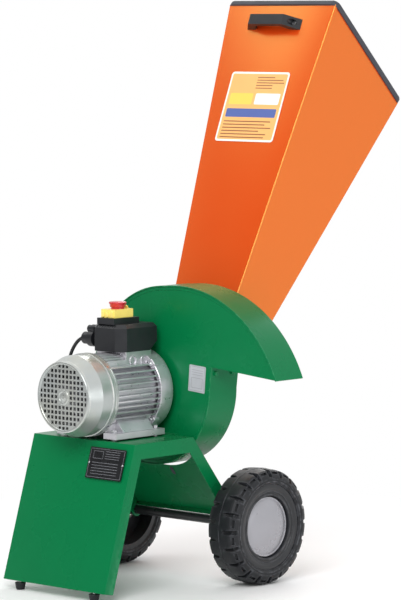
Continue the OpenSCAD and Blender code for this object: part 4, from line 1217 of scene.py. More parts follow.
def leg_grommet():
    """A dark rubber strip in the rear leg: painted shade of a shadowed slot."""
    leg = panel_frame(at(0, 0, SHELF_H), (1, 0, 0), (0, math.sin(REAR_LEAN), -math.cos(REAR_LEAN)))
    x, y, w, h = SLOT_SHADE
    field = (x - w / 2, y - h / 2, x + w / 2, y + h / 2, w / 2 - SLOT_SHADE_FLAT)
    layer = ("trim_rubber", [field], SLOT_SHADE_FOOT, SLOT_SHADE_TOP)
    return printed("leg_grommet", leg, [layer], "chassis")


def rating_plate():
    """The blank plate on the front leg, with ruled fields and two rivets."""
    turn = panel_frame(
        at(0, -SHELF_D, SHELF_H), (1, 0, 0), (0, math.sin(FRONT_LEAN), math.cos(FRONT_LEAN))
    )
    x0, y0, x1, y1 = RATING_PLATE
    inset = PLATE_INSET
    fields = ruled(x0 + inset, y0 + inset, x1 - inset, y1 - inset, PLATE_LINE)
    left, low, right, high = PLATE_FIELD
    fields += ruled(x0 + left, y1 + low, x0 + right, y1 + high, PLATE_LINE)
    for x, y, *rest in (PLATE_UPPER, PLATE_LOWER):
        fields += lines_from(x0 + x, y1 + y, *rest)
    layers = [
        ("plate_black", [(x0, y0, x1, y1, PLATE_CORNER)], 0, PLATE_T), ("plate_mark", fields, *PLATE_MARK),
    ]
    printed("rating_plate_blank", turn, layers, "chassis", nodes=["rating_plate"])
    ends = (x0 + RIVET_INSET, x1 - RIVET_INSET)
    rivets = [turn @ (Vector((x, (y0 + y1) / 2, PLATE_T)) * MM) for x in ends]
    head = dome_head(RIVET_R, RIVET_H)
    return fasteners("plate_rivets", head, rivets, turn.to_euler(), "chassis", "bright_steel")


class ShredderStand(bpy.types.Operator):
    """Makes the folded stand with its feet, bolts and rating plate"""

    bl_idname = "shredder.stand"
    bl_label = "Stand"

    def execute(self, context):
        stand_sheet()
        # A dark strip of painted shade in the rear leg, where a slot lies in shadow.
        leg_grommet()
        dressed("rubber_feet", "tyre_rubber", 1.2 * MM, 3)
        dressed("stand_bolts", "bright_steel", 0.7 * MM)
        rating_plate()
        return {"FINISHED"}


# Wheels, in the maker's millimetres.
WHEEL_X = 210
# Half of a tyre's outline, from the tread's middle to the bead: place across, radius, depth of a lug gap.
TREAD = (
    (0, 125.0, 0), (1.0, 125.0, 0), (1.6, 124.4, 0), (9, 124.4, 0), (12, 124.3, 0.55), (20, 124.0, 0.9),
    (28, 123.2, 1.0), (30.5, 121.8, 1.0), (32.5, 119.2, 1.0), (35.8, 114.8, 1.0), (37.6, 112.0, 0.8),
    (39.2, 108.8, 0.25), (40, 106.5, 0), (40, 103, 0), (39.3, 102.4, 0), (39.3, 100.2, 0), (40, 99.6, 0),
    (39.6, 97.2, 0), (37.6, 95.8, 0), (36.2, 93.2, 0), (32, 92.5, 0), (32, 88, 0),
)
# Where a lug gap's floor, its edge and a pocket begin, as shares of a pitch from the gap's middle.
GAP_FLOOR, GAP_EDGE, POCKET = 0.085, 0.13, 0.27
# Where the tyre's shoulder begins, how wide it turns down, and a gap's narrowing at the middle.
TYRE_SHOULDER, TYRE_TURN, GAP_NARROW = 28, 10, 0.35
# The row of the outline with the pockets, their depth and their way in: across and toward the axle.
POCKET_ROW, POCKET_DEPTH, POCKET_ACROSS, POCKET_DOWN = 8, 4.2, 0.75, 0.66
TYRE_CREASE = math.radians(32)
# What counts as the same share of a pitch, and how close two pitches' ends are joined, in metres.
SAME_SHARE = 1e-6
PITCH_JOIN = 0.00005


def from_gap(u, side):
    """A share of a pitch, counted from its side's own gap: the left side's lugs are half a pitch on."""
    return (u + (0.5 if side < 0 else 0.0)) % 1


def tread_point(side, u, across, radius, gap):
    """A point of the tyre about the X axis, at a share of a pitch, from a row of the outline."""
    local = from_gap(u, side)
    near = min(local, 1 - local)
    sunk = gap * sizes().lug_depth / MM if near <= GAP_FLOOR + SAME_SHARE else 0.0
    narrow = 1.0
    if near <= GAP_EDGE + SAME_SHARE and across < TYRE_SHOULDER:
        narrow = GAP_NARROW + (1 - GAP_NARROW) * across / TYRE_SHOULDER
    shift = near * (narrow - 1) * (1 if local < 0.5 else -1)
    angle = (u + shift) * 2 * math.pi / sizes().lug_count
    inward = min(max((across - TYRE_SHOULDER) / TYRE_TURN, 0), 1) / 2
    r = (radius - sunk * (1 - inward)) * MM
    return side * (across - sunk * inward) * MM, -r * math.sin(angle), r * math.cos(angle)


def press_pockets(bm, faces):
    """Presses the picked faces of the lugs in, across and toward the axle."""
    made = bmesh.ops.extrude_face_region(bm, geom=faces)["geom"]
    bmesh.ops.delete(bm, geom=faces, context="FACES")
    for vert in made:
        if isinstance(vert, bmesh.types.BMVert):
            across = math.copysign(POCKET_ACROSS, vert.co.x)
            down = Vector((0, vert.co.y, vert.co.z)).normalized() * POCKET_DOWN
            vert.co += (Vector((-across, 0, 0)) - down) * POCKET_DEPTH * MM


def tyre_pitch():
    """One pitch of the tyre: half a gap, a lug and half a gap, staggered side to side."""
    features = {0, GAP_FLOOR, GAP_EDGE, POCKET, 1 - POCKET, 1 - GAP_EDGE, 1 - GAP_FLOOR}
    columns = sorted({round(from_gap(u, side), 4) for u in features for side in (1, -1)} | {1.0})
    last = len(TREAD) - 1
    spans = range(len(columns) - 1)
    bm = bmesh.new()
    points = {}
    for side in (1, -1):
        for row, outline in enumerate(TREAD):
            for column, u in enumerate(columns):
                # Both sides share the row in the tread's middle.
                key = (side if row else 1, row, column)
                if key not in points:
                    points[key] = bm.verts.new(tread_point(side, u, *outline))
    pockets = []
    for side in (1, -1):
        for row in range(last):
            for column in spans:
                keys = [(row, column), (row, column + 1), (row + 1, column + 1), (row + 1, column)]
                face = bm.faces.new([points[(side if r else 1, r, c)] for r, c in keys])
                local = from_gap((columns[column] + columns[column + 1]) / 2, side)
                if row == POCKET_ROW and POCKET < local < 1 - POCKET:
                    pockets.append(face)
    for column in spans:
        keys = [(1, column), (1, column + 1), (-1, column + 1), (-1, column)]
        bm.faces.new([points[(side, last, c)] for side, c in keys])
    look_out(bm, highest, (0, 0, 1))
    bm.normal_update()
    press_pockets(bm, pockets)
    return bm


def make_tyre(word, hub):
    """A tyre: its pitch copied round the axle, joined, and set on its hub."""
    tyre = thing_from(tyre_pitch(), word + "_tyre")
    grown(
        tyre, "Ring of parts", count=sizes().lug_count, axis=(1.0, 0.0, 0.0), join_within=PITCH_JOIN,
        finish=finish("tyre_rubber"),
    )
    bm = bmesh.new()
    bm.from_mesh(tyre.data)
    bmesh.ops.translate(bm, verts=bm.verts, vec=hub)
    shade(bm, TYRE_CREASE)
    bm.to_mesh(tyre.data)
    bm.free()
    return settle(tyre, "wheel_" + word, "tyre_rubber", ["tyre_" + word])


# The rim, its hub and the hubcap: radius and place out from the wheel's middle plane.
RIM = (
    (23, -6), (23, 0), (58, 10), (64.5, 10), (66, 12), (67.2, 32), (68.6, 33.5), (71.5, 33.5),
    (72.6, 32.2), (75.5, 32.2), (76.6, 33.6), (79.6, 33.8), (81.4, 34.4), (82.6, 35.2), (84.6, 36),
    (90.4, 36), (92.4, 35.2), (92.9, 33), (92.9, 32.2), (87.9, 32.2), (87.9, -32.2), (92.9, -32.2),
    (92.9, -36), (82, -36), (82, 0), (58, 0),
)
HUB_SLEEVE = ((15.1, -34), (23.5, -34), (23.5, 2), (15.1, 2))
HUBCAP = (
    (0, 35.6), (10, 35.4), (22, 34.6), (34, 33.1), (44, 31.3), (51, 29.7), (55.5, 28.4), (59.5, 26.9),
    (61.2, 26.5), (62.4, 27.3), (64, 27.1), (64.8, 25.9), (64.8, 10.2), (52, 10.2), (52, 25), (0, 32),
)


class ShredderWheels(bpy.types.Operator):
    """Makes the tyres, rims and hubcaps, and finishes the axle"""

    bl_idname = "shredder.wheels"
    bl_label = "Wheels"

    def execute(self, context):
        for side, word in ((1, "right"), (-1, "left")):
            hub = at(side * WHEEL_X, AXLE_Y, AXLE_Z)
            body = "wheel_" + word
            make_tyre(word, hub)
            place = Matrix.Translation(hub) @ AXES["X"]
            if side < 0:
                place = Matrix.Translation(hub) @ Matrix.Rotation(math.pi, 4, "Z") @ AXES["X"]
            rim = turned_thing(word + "_rim", (RIM, place, True), (HUB_SLEEVE, place, True))
            settle(rim, body, "rim_plastic", ["rim_" + word])
            hubcap = turned_thing(word + "_hubcap", (HUBCAP, place))
            settle(hubcap, body, "hubcap_plastic", ["hubcap_" + word])
            dressed("bush_" + word, "bush_plastic", 0.4 * MM)
        dressed("axle", "axle_black", 0.8 * MM)
        dressed("axle_spacers", "bright_steel", 0.4 * MM)
        dressed("axle_retainers", "bright_steel", 0.3 * MM)
        return {"FINISHED"}


# Motor and switch box, in the maker's millimetres.
SHAFT_Z = 418
COWL_FACE_Y = -243
# The rolled edge and the boss of the cowl's face: radius and place behind the face.
COWL_EDGE = (
    (68.6, 0.6), (69.4, -1.2), (70.6, -2.2), (72.4, -2.7), (74.4, -2.4), (75.8, -1.0), (76.6, 1.4),
    (77.4, 4.6), (76.2, 4.6), (73, 0.6),
)
COWL_BOSS = (
    (0, 0.2), (2.6, -0.1), (3.4, -1.5), (4.8, -1.3), (6, -0.5), (10.4, -0.5), (11.6, -1.7), (13.2, -2.1),
    (14.6, -1.7), (15.8, -0.4), (17, 0.3),
)
# The rolled bead near the cowl's rear edge and the seat behind it: radius and place from that edge.
COWL_BEAD = ((86.6, -18), (88.4, -17.2), (89.2, -15), (89.2, -13), (88.4, -10.8), (86.6, -10))
COWL_SEAT = ((86.2, -10.4), (88, -9.6), (88, -0.6), (87.2, 0.2), (86.2, 0.2))
# The drive shield's outer ring, radius and place, and its lugs: along the spoke, half across, and depth.
SHIELD_RING = (
    (86.2, -33.5), (87.4, -32.5), (88.2, -28), (89.3, -20), (89.5, -8), (89.9, -2), (89.2, 0.6), (87.6, 1.2),
    (78, 1.2), (78, -33.5),
)
LUG_COUNT, LUG_IN, LUG_OUT, LUG_HALF, LUG_BACK, LUG_FRONT, LUG_ROUND = 4, 76, 92.5, 8.5, 20, 38, 3
LUG_BOLT = ((0, 4.6), (2.4, 4.3), (4.2, 3.2), (5, 1.6), (5, -1))
# The fins on top of the motor, ahead of the terminal base.
TOP_FIN_R, TOP_FIN_T, TOP_FIN_FOOT, TOP_FIN_ENDS = 85.5, 3, 35, (-166, -97)
TOP_FIN_XS = range(-36, 46, 9)
# The terminal base under the switch box: its right face, its front corner and its two knockouts.
BASE_X, BASE_FRONT_Y, BASE_FOOT, BASE_TOP = 43.5, -98, 470, 506
CORNER_R, CORNER_INSET = 1.8, 1.4
CORNER_POST = ((0, BASE_TOP), (CORNER_R, BASE_TOP), (CORNER_R, BASE_FOOT))
KNOCKOUT_Y, KNOCKOUT_Z, KNOCKOUT_STEP, KNOCKOUT_STEPS = -75.5, 486, 34, 40
KNOCKOUT_RIM = ((9, -1.5), (9, 0.8), (9.6, 1.2), (10.4, 1.0), (11, 0.2), (11, -0.6))
BOX_FRONT_Y, BOX_TOP, BOX_BEVEL = -117, 564, 8
RIB_COUNT, RIB_STEP, RIB_ROUND = 8, 7.2, 0.4
RIB_CORNERS = (-1.1, -4.4, -0.5), (1.1, 4.4, 1.1)
# The flap's three finger ribs, its hook over the hinge and the knob's sleeve.
FLAP_FRONT_Y, FLAP_RIB_STEP = -107.5, 13
FLAP_RIB = ((0, 592), (2.2, 592), (3.2, 591), (3.2, 580), (2.2, 579), (0, 579))
HOOK_Y, HOOK_Z, HOOK_R, HOOK_T, HOOK_W, HOOK_ROUND = -56, 594.5, 6, 3, 10, 0.8
HOOK_TURN, HOOK_STEPS = math.radians(100), 10
KNOB_Y = -77.5
KNOB_SLEEVE = (
    (13.5, 598.9), (16, 598.9), (16.6, 599.6), (16.9, 604), (18.2, 606), (18.9, 607.2), (13.5, 607.2),
)


def knockouts():
    """The raised rims of the terminal base's two knockouts."""
    place = Matrix.Translation(at(BASE_X, KNOCKOUT_Y, KNOCKOUT_Z)) @ AXES["X"]
    rims = turned_thing("knockout_rims", (KNOCKOUT_RIM, place, True, KNOCKOUT_STEPS))
    grown(
        rims, "Row of parts", count=2, step=(0.0, KNOCKOUT_STEP * MM, 0.0), finish=finish("cast_aluminium")
    )
    return settle(rims, "chassis", "cast_aluminium")


def top_fins(edge):
    """The fins on top of the motor, each as high as the housing's round outline allows."""
    near, far = TOP_FIN_ENDS
    bm = bmesh.new()
    for x in TOP_FIN_XS:
        top = SHAFT_Z + math.sqrt(TOP_FIN_R ** 2 - x ** 2)
        box_in(bm, at(x - TOP_FIN_T / 2, near, SHAFT_Z + TOP_FIN_FOOT), at(x + TOP_FIN_T / 2, far, top))
    return settle(rounded(thing_from(bm, "top_fins"), edge), "chassis", "cast_aluminium")


def shield_lugs():
    """The drive shield's four lugs and the bolts in them."""
    spoke = panel_frame(at(0, 0, SHAFT_Z), (1, 0, 1), (-1, 0, 1))
    bm = bmesh.new()
    box_in(bm, Vector((LUG_IN, -LUG_HALF, LUG_BACK)) * MM, Vector((LUG_OUT, LUG_HALF, LUG_FRONT)) * MM, spoke)
    lugs = rounded(thing_from(bm, "shield_lugs"), LUG_ROUND * MM, 3)
    head = spoke @ Matrix.Translation(Vector(((LUG_IN + LUG_OUT) / 2, 0, LUG_FRONT)) * MM)
    bolts = turned_thing("shield_lug_bolts", (LUG_BOLT, head, False, SMALL_STEPS))
    for ring, material in ((lugs, "cast_aluminium"), (bolts, "bright_steel")):
        grown(
            ring, "Ring of parts", count=LUG_COUNT, centre=at(0, 0, SHAFT_Z), axis=(0.0, 1.0, 0.0),
            join_within=SAME_POINT, finish=finish(material),
        )
        settle(ring, "chassis", material)


def cowl_pressings():
    """The rolled edges, the seat and the boss of the fan cowl."""
    place = Matrix.Translation(at(0, COWL_FACE_Y, SHAFT_Z)) @ AXES["Y"]
    rear = place.copy()
    rear.translation.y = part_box("fan_cowl")[1].y
    pressings = turned_thing(
        "cowl_pressings", (COWL_EDGE, place, True), (COWL_BEAD, rear, True), (COWL_SEAT, rear, True),
        (COWL_BOSS, place),
    )
    return settle(pressings, "chassis", "plated_cowl")


class ShredderMotor(bpy.types.Operator):
    """Dresses the motor, its shields, its fan and its cowl"""

    bl_idname = "shredder.motor"
    bl_label = "Motor"

    def execute(self, context):
        edge = sizes().cast_edge
        dressed("motor_housing", "cast_aluminium", edge * 1.2, 3)
        knockouts()
        top_fins(edge)
        post = Matrix.Translation(at(BASE_X - CORNER_INSET, BASE_FRONT_Y + CORNER_INSET, 0))
        shaft = Matrix.Translation(at(0, 0, SHAFT_Z)) @ AXES["Y"]
        castings = turned_thing(
            "motor_castings", (CORNER_POST, post, False, SMALL_STEPS), (SHIELD_RING, shaft, True)
        )
        settle(castings, "chassis", "cast_aluminium")
        shield_lugs()
        dressed("drive_shield", "cast_aluminium", edge)
        dressed("fan_shield", "cast_aluminium", edge)
        dressed("motor_screws", "bright_steel", edge * 0.6)
        dressed("fan_cowl", "plated_cowl", edge * 0.5, limit=12)
        cowl_pressings()
        dressed("cooling_fan", "hubcap_plastic", edge * 0.5)
        coated("core_steel", "stator_core", "rotor_core")
        coated("copper", "windings")
        coated("bright_steel", "motor_shaft", "motor_bearings")
        return {"FINISHED"}


def lid_ribs():
    """The short ribs along the front bevel of the switch box's lid."""
    first = at(-RIB_STEP * (RIB_COUNT - 1) / 2, BOX_FRONT_Y + BOX_BEVEL / 2, BOX_TOP - BOX_BEVEL / 2)
    bm = bmesh.new()
    low, high = (Vector(point) * MM for point in RIB_CORNERS)
    box_in(bm, low, high, panel_frame(first, (1, 0, 0), (0, 1, 1)))
    ribs = thing_from(bm, "lid_ribs")
    grown(
        ribs, "Row of parts", count=RIB_COUNT, step=(RIB_STEP * MM, 0.0, 0.0), finish=finish("black_plastic")
    )
    return settle(rounded(ribs, RIB_ROUND * MM), "chassis", "black_plastic")


def flap_details():
    """The flap's finger ribs and its hook over the hinge."""
    body = node_bodies["switch_flap"]
    place = Matrix.Translation(at(-FLAP_RIB_STEP, FLAP_FRONT_Y, 0))
    ribs = turned_thing("flap_ribs", (FLAP_RIB, place, False, SMALL_STEPS))
    grown(
        ribs, "Row of parts", count=3, step=(FLAP_RIB_STEP * MM, 0.0, 0.0), finish=finish("yellow_plastic")
    )
    settle(ribs, body, "yellow_plastic")
    outer, inner = (
        arc(HOOK_Y, HOOK_Z, HOOK_R + half, 0, HOOK_TURN, HOOK_STEPS) for half in (HOOK_T / 2, -HOOK_T / 2)
    )
    line = outer + inner[::-1]
    bm = bmesh.new()
    prism(bm, *([at(x, y, z) for y, z in line] for x in (-HOOK_W / 2, HOOK_W / 2)))
    settle(rounded(thing_from(bm, "flap_hook"), HOOK_ROUND * MM), body, "yellow_plastic")


class ShredderSwitch(bpy.types.Operator):
    """Dresses the switch box, its glands, its flap, its knob and its buttons"""

    bl_idname = "shredder.switch"
    bl_label = "Switch box"

    def execute(self, context):
        edge = sizes().moulded_edge
        dressed("switch_box", "black_plastic", edge)
        lid_ribs()
        dressed("cable_glands", "black_plastic", edge * 0.5)
        dressed("switch_base", "black_plastic", edge * 0.6)
        dressed("hinge_pin", "bright_steel", 0.3 * MM)
        dressed("switch_flap", "yellow_plastic", edge * 0.6)
        flap_details()
        dressed("stop_knob", "red_plastic", edge * 0.8, 3)
        sleeve = turned_thing("knob_sleeve", (KNOB_SLEEVE, Matrix.Translation(at(0, KNOB_Y, 0)), True))
        settle(sleeve, node_bodies["stop_knob"], "red_plastic")
        dressed("start_button", "green_plastic", edge * 0.7)
        dressed("stop_button", "red_plastic", edge * 0.7)
        coated("hubcap_plastic", "capacitor")
        return {"FINISHED"}


# Casing, in the maker's millimetres: the arcs of its outline.
SHOULDER_X, SHOULDER_R = 56, 217
HOOD_SHIFT, HOOD_R = 37, 304
HOOD_X = SHOULDER_X + HOOD_SHIFT
HOOD_Z = CASING_Z + SHOULDER_R - math.sqrt(HOOD_R ** 2 - HOOD_SHIFT ** 2)
# The two edges of the outlet: the inner one, and the hood's lip.
OUTLET_IN, HOOD_LIP_Z = (191, 475), 459
HOOD_LIP_X = HOOD_X + math.sqrt(HOOD_R ** 2 - (HOOD_LIP_Z - HOOD_Z) ** 2)
CASING_Y0, CASING_Y1 = 11, 98
HOOD_STEPS, SHOULDER_STEPS, DRUM_STEPS = 72, 48, 96
# The raised margin of the front plate: inset from the outline, and place behind the plate's front.
MARGIN = ((2.4, 0.3), (2.4, -1), (9.5, -1), (10.5, 0.3))
MARGIN_ROUND = 0.4
# The blank plate on the casing's front: its middle, its fall to the right and half its size.
NOISE_PLATE_X, NOISE_PLATE_Z, NOISE_PLATE_FALL = 147, 447.5, 0.075
NOISE_PLATE_HALF = (23.5, 28.5)
# Its thickness, and the foot and the top of its marks.
NOISE_PLATE_T, NOISE_MARK = 0.8, (0.7, 0.9)
# Its two ruled frames, edges and line, and its lines: place, step down, height and reaches.
NOISE_FRAMES = ((-21, -26, 21, 26, 0.6), (-16, -20, 16, 2, 0.8))
NOISE_LINES = (-16, 18, 5, 0.8, (32,) * 3)


def casing_line():
    """The casing's outline from the hood's lip, over the top, round the drum and to the outlet."""
    lip = math.atan2(HOOD_LIP_Z - HOOD_Z, HOOD_LIP_X - HOOD_X)
    top = math.acos((SHOULDER_X - HOOD_X) / HOOD_R)
    line = arc(HOOD_X, HOOD_Z, HOOD_R, lip, top, HOOD_STEPS)
    line += arc(SHOULDER_X, CASING_Z, SHOULDER_R, math.pi / 2, math.pi, SHOULDER_STEPS)[1:]
    line += arc(CASING_X, CASING_Z, DRUM_R, math.pi, 2 * math.pi, DRUM_STEPS)[1:]
    return line + [OUTLET_IN]


def casing_margin(line):
    """The raised margin of the front plate, along the casing's wall."""
    flat = [Vector(point) for point in line[1:-1]]
    bm = bmesh.new()
    rows = [[] for _ in MARGIN]
    for i, point in enumerate(flat):
        run = (flat[min(i + 1, len(flat) - 1)] - flat[max(i - 1, 0)]).normalized()
        inward = Vector((-run.y, run.x))
        for row, (inset, y) in zip(rows, MARGIN):
            place = point + inward * inset
            row.append(bm.verts.new(at(place.x, CASING_FRONT_Y + y, place.y)))
    for row, following in zip(rows, rows[1:] + rows[:1]):
        for i in range(len(flat) - 1):
            bm.faces.new((row[i], row[i + 1], following[i + 1], following[i]))
    for end in (0, -1):
        bm.faces.new([row[end] for row in rows])
    bmesh.ops.recalc_face_normals(bm, faces=bm.faces)
    margin = rounded(thing_from(bm, "casing_margin"), MARGIN_ROUND * MM)
    return settle(margin, "chassis", "green_paint")


def noise_plate():
    """The blank plate on the casing's front, with ruled fields."""
    turn = panel_frame(
        at(NOISE_PLATE_X, CASING_FRONT_Y, NOISE_PLATE_Z), (1, 0, -NOISE_PLATE_FALL), (NOISE_PLATE_FALL, 0, 1)
    )
    w, h = NOISE_PLATE_HALF
    marks = [strip for edges in NOISE_FRAMES for strip in ruled(*edges)] + lines_from(*NOISE_LINES)
    layers = [
        ("plate_grey", [(-w, -h, w, h, PLATE_CORNER)], 0, NOISE_PLATE_T), ("plate_mark", marks, *NOISE_MARK),
    ]
    return printed("noise_plate_blank", turn, layers, "chassis")


class ShredderCasing(bpy.types.Operator):
    """Makes the casing's rolled wall and hood, and dresses its plates and bolts"""

    bl_idname = "shredder.casing"
    bl_label = "Casing"

    def execute(self, context):
        settings = sizes()
        line = casing_line()
        bm = bmesh.new()
        band(bm, [at(x, CASING_Y0, z) for x, z in line], [at(x, CASING_Y1, z) for x, z in line])
        look_out(bm, highest, (0, 0, 1))
        wall = thing_from(bm, "casing_shell")
        sheeted(wall, settings.casing_sheet)
        rounded(wall, settings.sheet_edge * 1.3, limit=SHEET_LIMIT)
        settle(wall, "chassis", "green_paint", ["casing_wall", "discharge_hood"])
        dressed("casing_front", "green_paint", settings.sheet_edge, limit=SHEET_LIMIT)
        casing_margin(line)
        dressed("casing_back", "green_paint", settings.sheet_edge, limit=SHEET_LIMIT)
        dressed("hood_bolts", "green_paint", 0.8 * MM)
        noise_plate()
        return {"FINISHED"}


class ShredderCutter(bpy.types.Operator):
    """Dresses the cutting disc, its knives and paddles, and the anvil"""

    bl_idname = "shredder.cutter"
    bl_label = "Cutter"

    def execute(self, context):
        for node in ("cutter_hub", "disc_bolt"):
            dressed(node, "bright_steel", 0.5 * MM)
        for node in ("cutter_disc", "knives_set", "paddle_set", "anvil_blade"):
            dressed(node, "blade_steel", 0.4 * MM)
        return {"FINISHED"}


# Hopper, in the maker's millimetres and degrees.
HOPPER_X = 80
MOUTH_W, ROOT_W = 308, 176
MOUTH_FRONT, MOUTH_BACK = (363, 1244.5), (580, 1027)
FRONT_PITCH = math.radians(21.9)
ROOT_Y = 101
ROOT = (ROOT_Y, MOUTH_FRONT[1] - (MOUTH_FRONT[0] - ROOT_Y) / math.tan(FRONT_PITCH))
# The front panel: its stand-out, its folds' width, its share of the sheet and its top corners' cut.
PANEL_OUT, PANEL_FOLD, PANEL_SHARE, PANEL_CUT = 1.2, 2.5, 0.55, 5
# The edging: how far it stands out, its width and height, its corners' radius and facets, and its crease.
TRIM_OUT, TRIM_W, TRIM_H, TRIM_R, TRIM_STEPS = 4, 12, 10, 9, 8
TRIM_CREASE = math.radians(50)
# Its section: radius round a corner of the mouth, and height over the mouth's plane.
TRIM_PROFILE = (
    (TRIM_R + 5.4, -3.0), (TRIM_R + 5.9, 0), (TRIM_R + 5.9, TRIM_H - 3), (TRIM_R + 4.6, TRIM_H - 0.8),
    (TRIM_R + 2.4, TRIM_H), (TRIM_R - 2.4, TRIM_H), (TRIM_R - 4.6, TRIM_H - 0.8),
    (TRIM_R - 5.9, TRIM_H - 3), (TRIM_R - 5.9, -3.0),
)


def mouth_frame():
    """The plane of the hopper's mouth: X across, Y from its front edge to its back edge, Z out."""
    run = Vector(MOUTH_BACK) - Vector(MOUTH_FRONT)
    return panel_frame(at(HOPPER_X, *MOUTH_FRONT), (1, 0, 0), (0, run.x, run.y))


def half_width(y, z):
    """Half the hopper's width at a place in its side view."""
    out = mouth_frame().col[2].to_3d()

    def height(point):
        return (point[0] - MOUTH_FRONT[0]) * out.y + (point[1] - MOUTH_FRONT[1]) * out.z

    return MOUTH_W / 2 + (MOUTH_W - ROOT_W) / 2 * height((y, z)) / -height(ROOT)


def panel_corner(side, point):
    """A corner of the front panel, just outside of the hopper's side."""
    return at(HOPPER_X + side * (half_width(*point) + PANEL_OUT), *point)


def front_panel():
    """The hopper's front panel, folded back over both sides."""
    settings = sizes()
    lap = settings.hopper_lap / MM
    back = Vector((math.cos(FRONT_PITCH), -math.sin(FRONT_PITCH)))
    up = Vector((math.sin(FRONT_PITCH), math.cos(FRONT_PITCH)))
    top, foot = Vector(MOUTH_FRONT), Vector(ROOT)
    ends = ((top, top + back * lap - up * PANEL_CUT), (foot, foot + Vector((0, -1)) * lap))
    bm = bmesh.new()
    rows = [
        [
            bm.verts.new(panel_corner(side, point))
            for side, point in ((-1, far), (-1, near), (1, near), (1, far))
        ]
        for near, far in ends
    ]
    for k in range(3):
        bm.faces.new((rows[0][k], rows[0][k + 1], rows[1][k + 1], rows[1][k]))
    look_out(bm, lambda faces: faces[1], (0, -1, 0))
    panel = thing_from(bm, "hopper_front_panel")
    add_bevel(panel, "Side folds", PANEL_FOLD * MM, 4, 40)
    sheeted(panel, settings.hopper_sheet * PANEL_SHARE)
    rounded(panel, settings.sheet_edge * 0.4, limit=50)
    return settle(panel, "chassis", "orange_paint", ["hopper_front"])


def edge_trim():
    """The rubber edging: a rounded channel run round the mouth with round corners."""
    turn = mouth_frame()
    deep = (Vector(MOUTH_BACK) - Vector(MOUTH_FRONT)).length
    half = MOUTH_W / 2
    middle_out = TRIM_OUT - TRIM_W / 2
    x1, y0, y1 = half + middle_out, -middle_out, deep + middle_out
    bm = bmesh.new()
    rings = []
    for x, y, start in ((x1, y1, 0), (-x1, y1, 90), (-x1, y0, 180), (x1, y0, 270)):
        cx, cy = x - math.copysign(TRIM_R, x), y - (TRIM_R if y == y1 else -TRIM_R)
        for k in range(TRIM_STEPS + 1):
            a = math.radians(start + 90 * k / TRIM_STEPS)
            rings.append([
                bm.verts.new(turn @ (Vector((cx + r * math.cos(a), cy + r * math.sin(a), h)) * MM))
                for r, h in TRIM_PROFILE
            ])
    for k, ring in enumerate(rings):
        following = rings[(k + 1) % len(rings)]
        for i in range(len(ring)):
            j = (i + 1) % len(ring)
            bm.faces.new((ring[i], following[i], following[j], ring[j]))
    bmesh.ops.recalc_face_normals(bm, faces=bm.faces)
    shade(bm, TRIM_CREASE)
    return settle(thing_from(bm, "mouth_edging"), "chassis", "trim_rubber", ["edge_trim"])


# The blank label on the front panel: its edges from the mouth's middle, its border, and both corners' radii.
LABEL = (-90.5, -322.5, 78.5, -160)
LABEL_BORDER, LABEL_CORNER, GROUND_CORNER = 4.6, 7, 4
LABEL_FOOT, LABEL_TOP, LABEL_PRINT = 1.1, 1.5, 0.06
# Its bars, from its upper left corner: left, low, right, high and corner.
YELLOW_BAR = (12, -76, 78.5, -50, 3)
WHITE_BAR = (86, -76, 157, -50, 3)
BLUE_BAR = (12, -106, 157, -86, 3)
# Its lines, from the same corner: place, step down, height and reaches.
LABEL_UPPER = (79, -14, 6.2, 2, (50, 76, 80, 48, 48))
LABEL_LOWER = (12, -117, 7.4, 2.4, (136, 122, 141, 108, 131, 127))


def blank_label(turn):
    """The label: a white border round an empty ground, with three plain bars and ruled lines."""
    x0, y0, x1, y1 = LABEL
    inset = LABEL_BORDER
    inner = (x0 + inset, y0 + inset, x1 - inset, y1 - inset, GROUND_CORNER)
    ground = LABEL_TOP + LABEL_PRINT
    print_top = ground + LABEL_PRINT
    layers = [
        ("label_white", [(x0, y0, x1, y1, LABEL_CORNER)], LABEL_FOOT, LABEL_TOP),
        ("label_ground", [inner], LABEL_FOOT, ground),
    ]
    bars = (("label_yellow", YELLOW_BAR), ("label_white", WHITE_BAR), ("label_blue", BLUE_BAR))
    for material, (left, low, right, high, radius) in bars:
        bar = (x0 + left, y1 + low, x0 + right, y1 + high, radius)
        layers.append((material, [bar], LABEL_FOOT, print_top))
    lines = []
    for x, y, *rest in (LABEL_LOWER, LABEL_UPPER):
        lines += lines_from(x0 + x, y1 + y, *rest)
    layers.append(("label_line", lines, LABEL_FOOT, print_top))
    return printed("hopper_label_blank", turn, layers, "chassis")


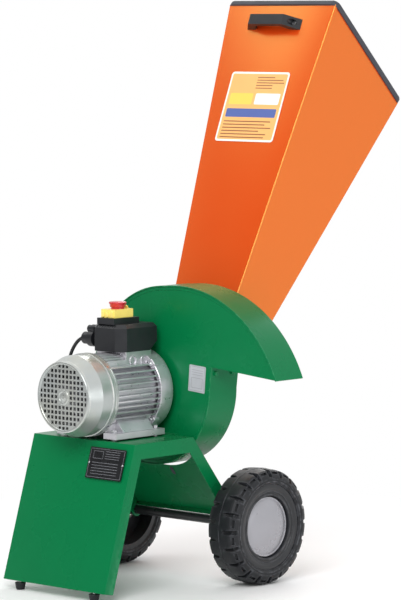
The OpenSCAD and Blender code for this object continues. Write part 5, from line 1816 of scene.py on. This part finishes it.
class ShredderHopper(bpy.types.Operator):
    """Makes the hopper's folded sheets, its edging, its handle and its blank label"""

    bl_idname = "shredder.hopper"
    bl_label = "Hopper"

    def execute(self, context):
        settings = sizes()
        front_panel()
        for node in ("hopper_back", "hopper_right", "hopper_left", "hopper_floor", "hopper_flange"):
            dressed(node, "orange_paint", settings.sheet_edge * 0.7, limit=SHEET_LIMIT)
        dressed("hopper_fasteners", "bright_steel", 0.6 * MM)
        edge_trim()
        dressed("handle", "black_plastic", 1.8 * MM, 4)
        up = (0, math.sin(FRONT_PITCH), math.cos(FRONT_PITCH))
        blank_label(panel_frame(at(HOPPER_X, *MOUTH_FRONT), (1, 0, 0), up))
        return {"FINISHED"}


class ShredderPanel(bpy.types.Panel):
    """Lists the shredder's parts in the sidebar"""

    bl_idname = "VIEW3D_PT_shredder"
    bl_label = "Garden shredder"
    bl_space_type = "VIEW_3D"
    bl_region_type = "UI"
    bl_category = "Shredder"

    def draw(self, context):
        for part in PARTS:
            self.layout.operator(part.bl_idname)
        for settings in (sizes(), colours(), studio()):
            box = self.layout.box()
            for key in settings.__annotations__:
                box.prop(settings, key)


PARTS = (
    ShredderStage, ShredderLead, ShredderStand, ShredderWheels, ShredderMotor, ShredderSwitch, ShredderCasing,
    ShredderCutter, ShredderHopper,
)
CLASSES = (ShredderSizes, ShredderColours, ShredderStudio, *PARTS, ShredderPanel)


def register():
    for kind in CLASSES:
        bpy.utils.register_class(kind)
    bpy.types.Scene.shredder_sizes = PointerProperty(type=ShredderSizes)
    bpy.types.Scene.shredder_colours = PointerProperty(type=ShredderColours)
    bpy.types.Scene.shredder_studio = PointerProperty(type=ShredderStudio)


def unregister():
    del bpy.types.Scene.shredder_studio
    del bpy.types.Scene.shredder_colours
    del bpy.types.Scene.shredder_sizes
    for kind in reversed(CLASSES):
        bpy.utils.unregister_class(kind)


def main():
    register()
    for part in PARTS:
        getattr(bpy.ops.shredder, part.bl_idname.partition(".")[2])()


if __name__ == "__main__":
    main()
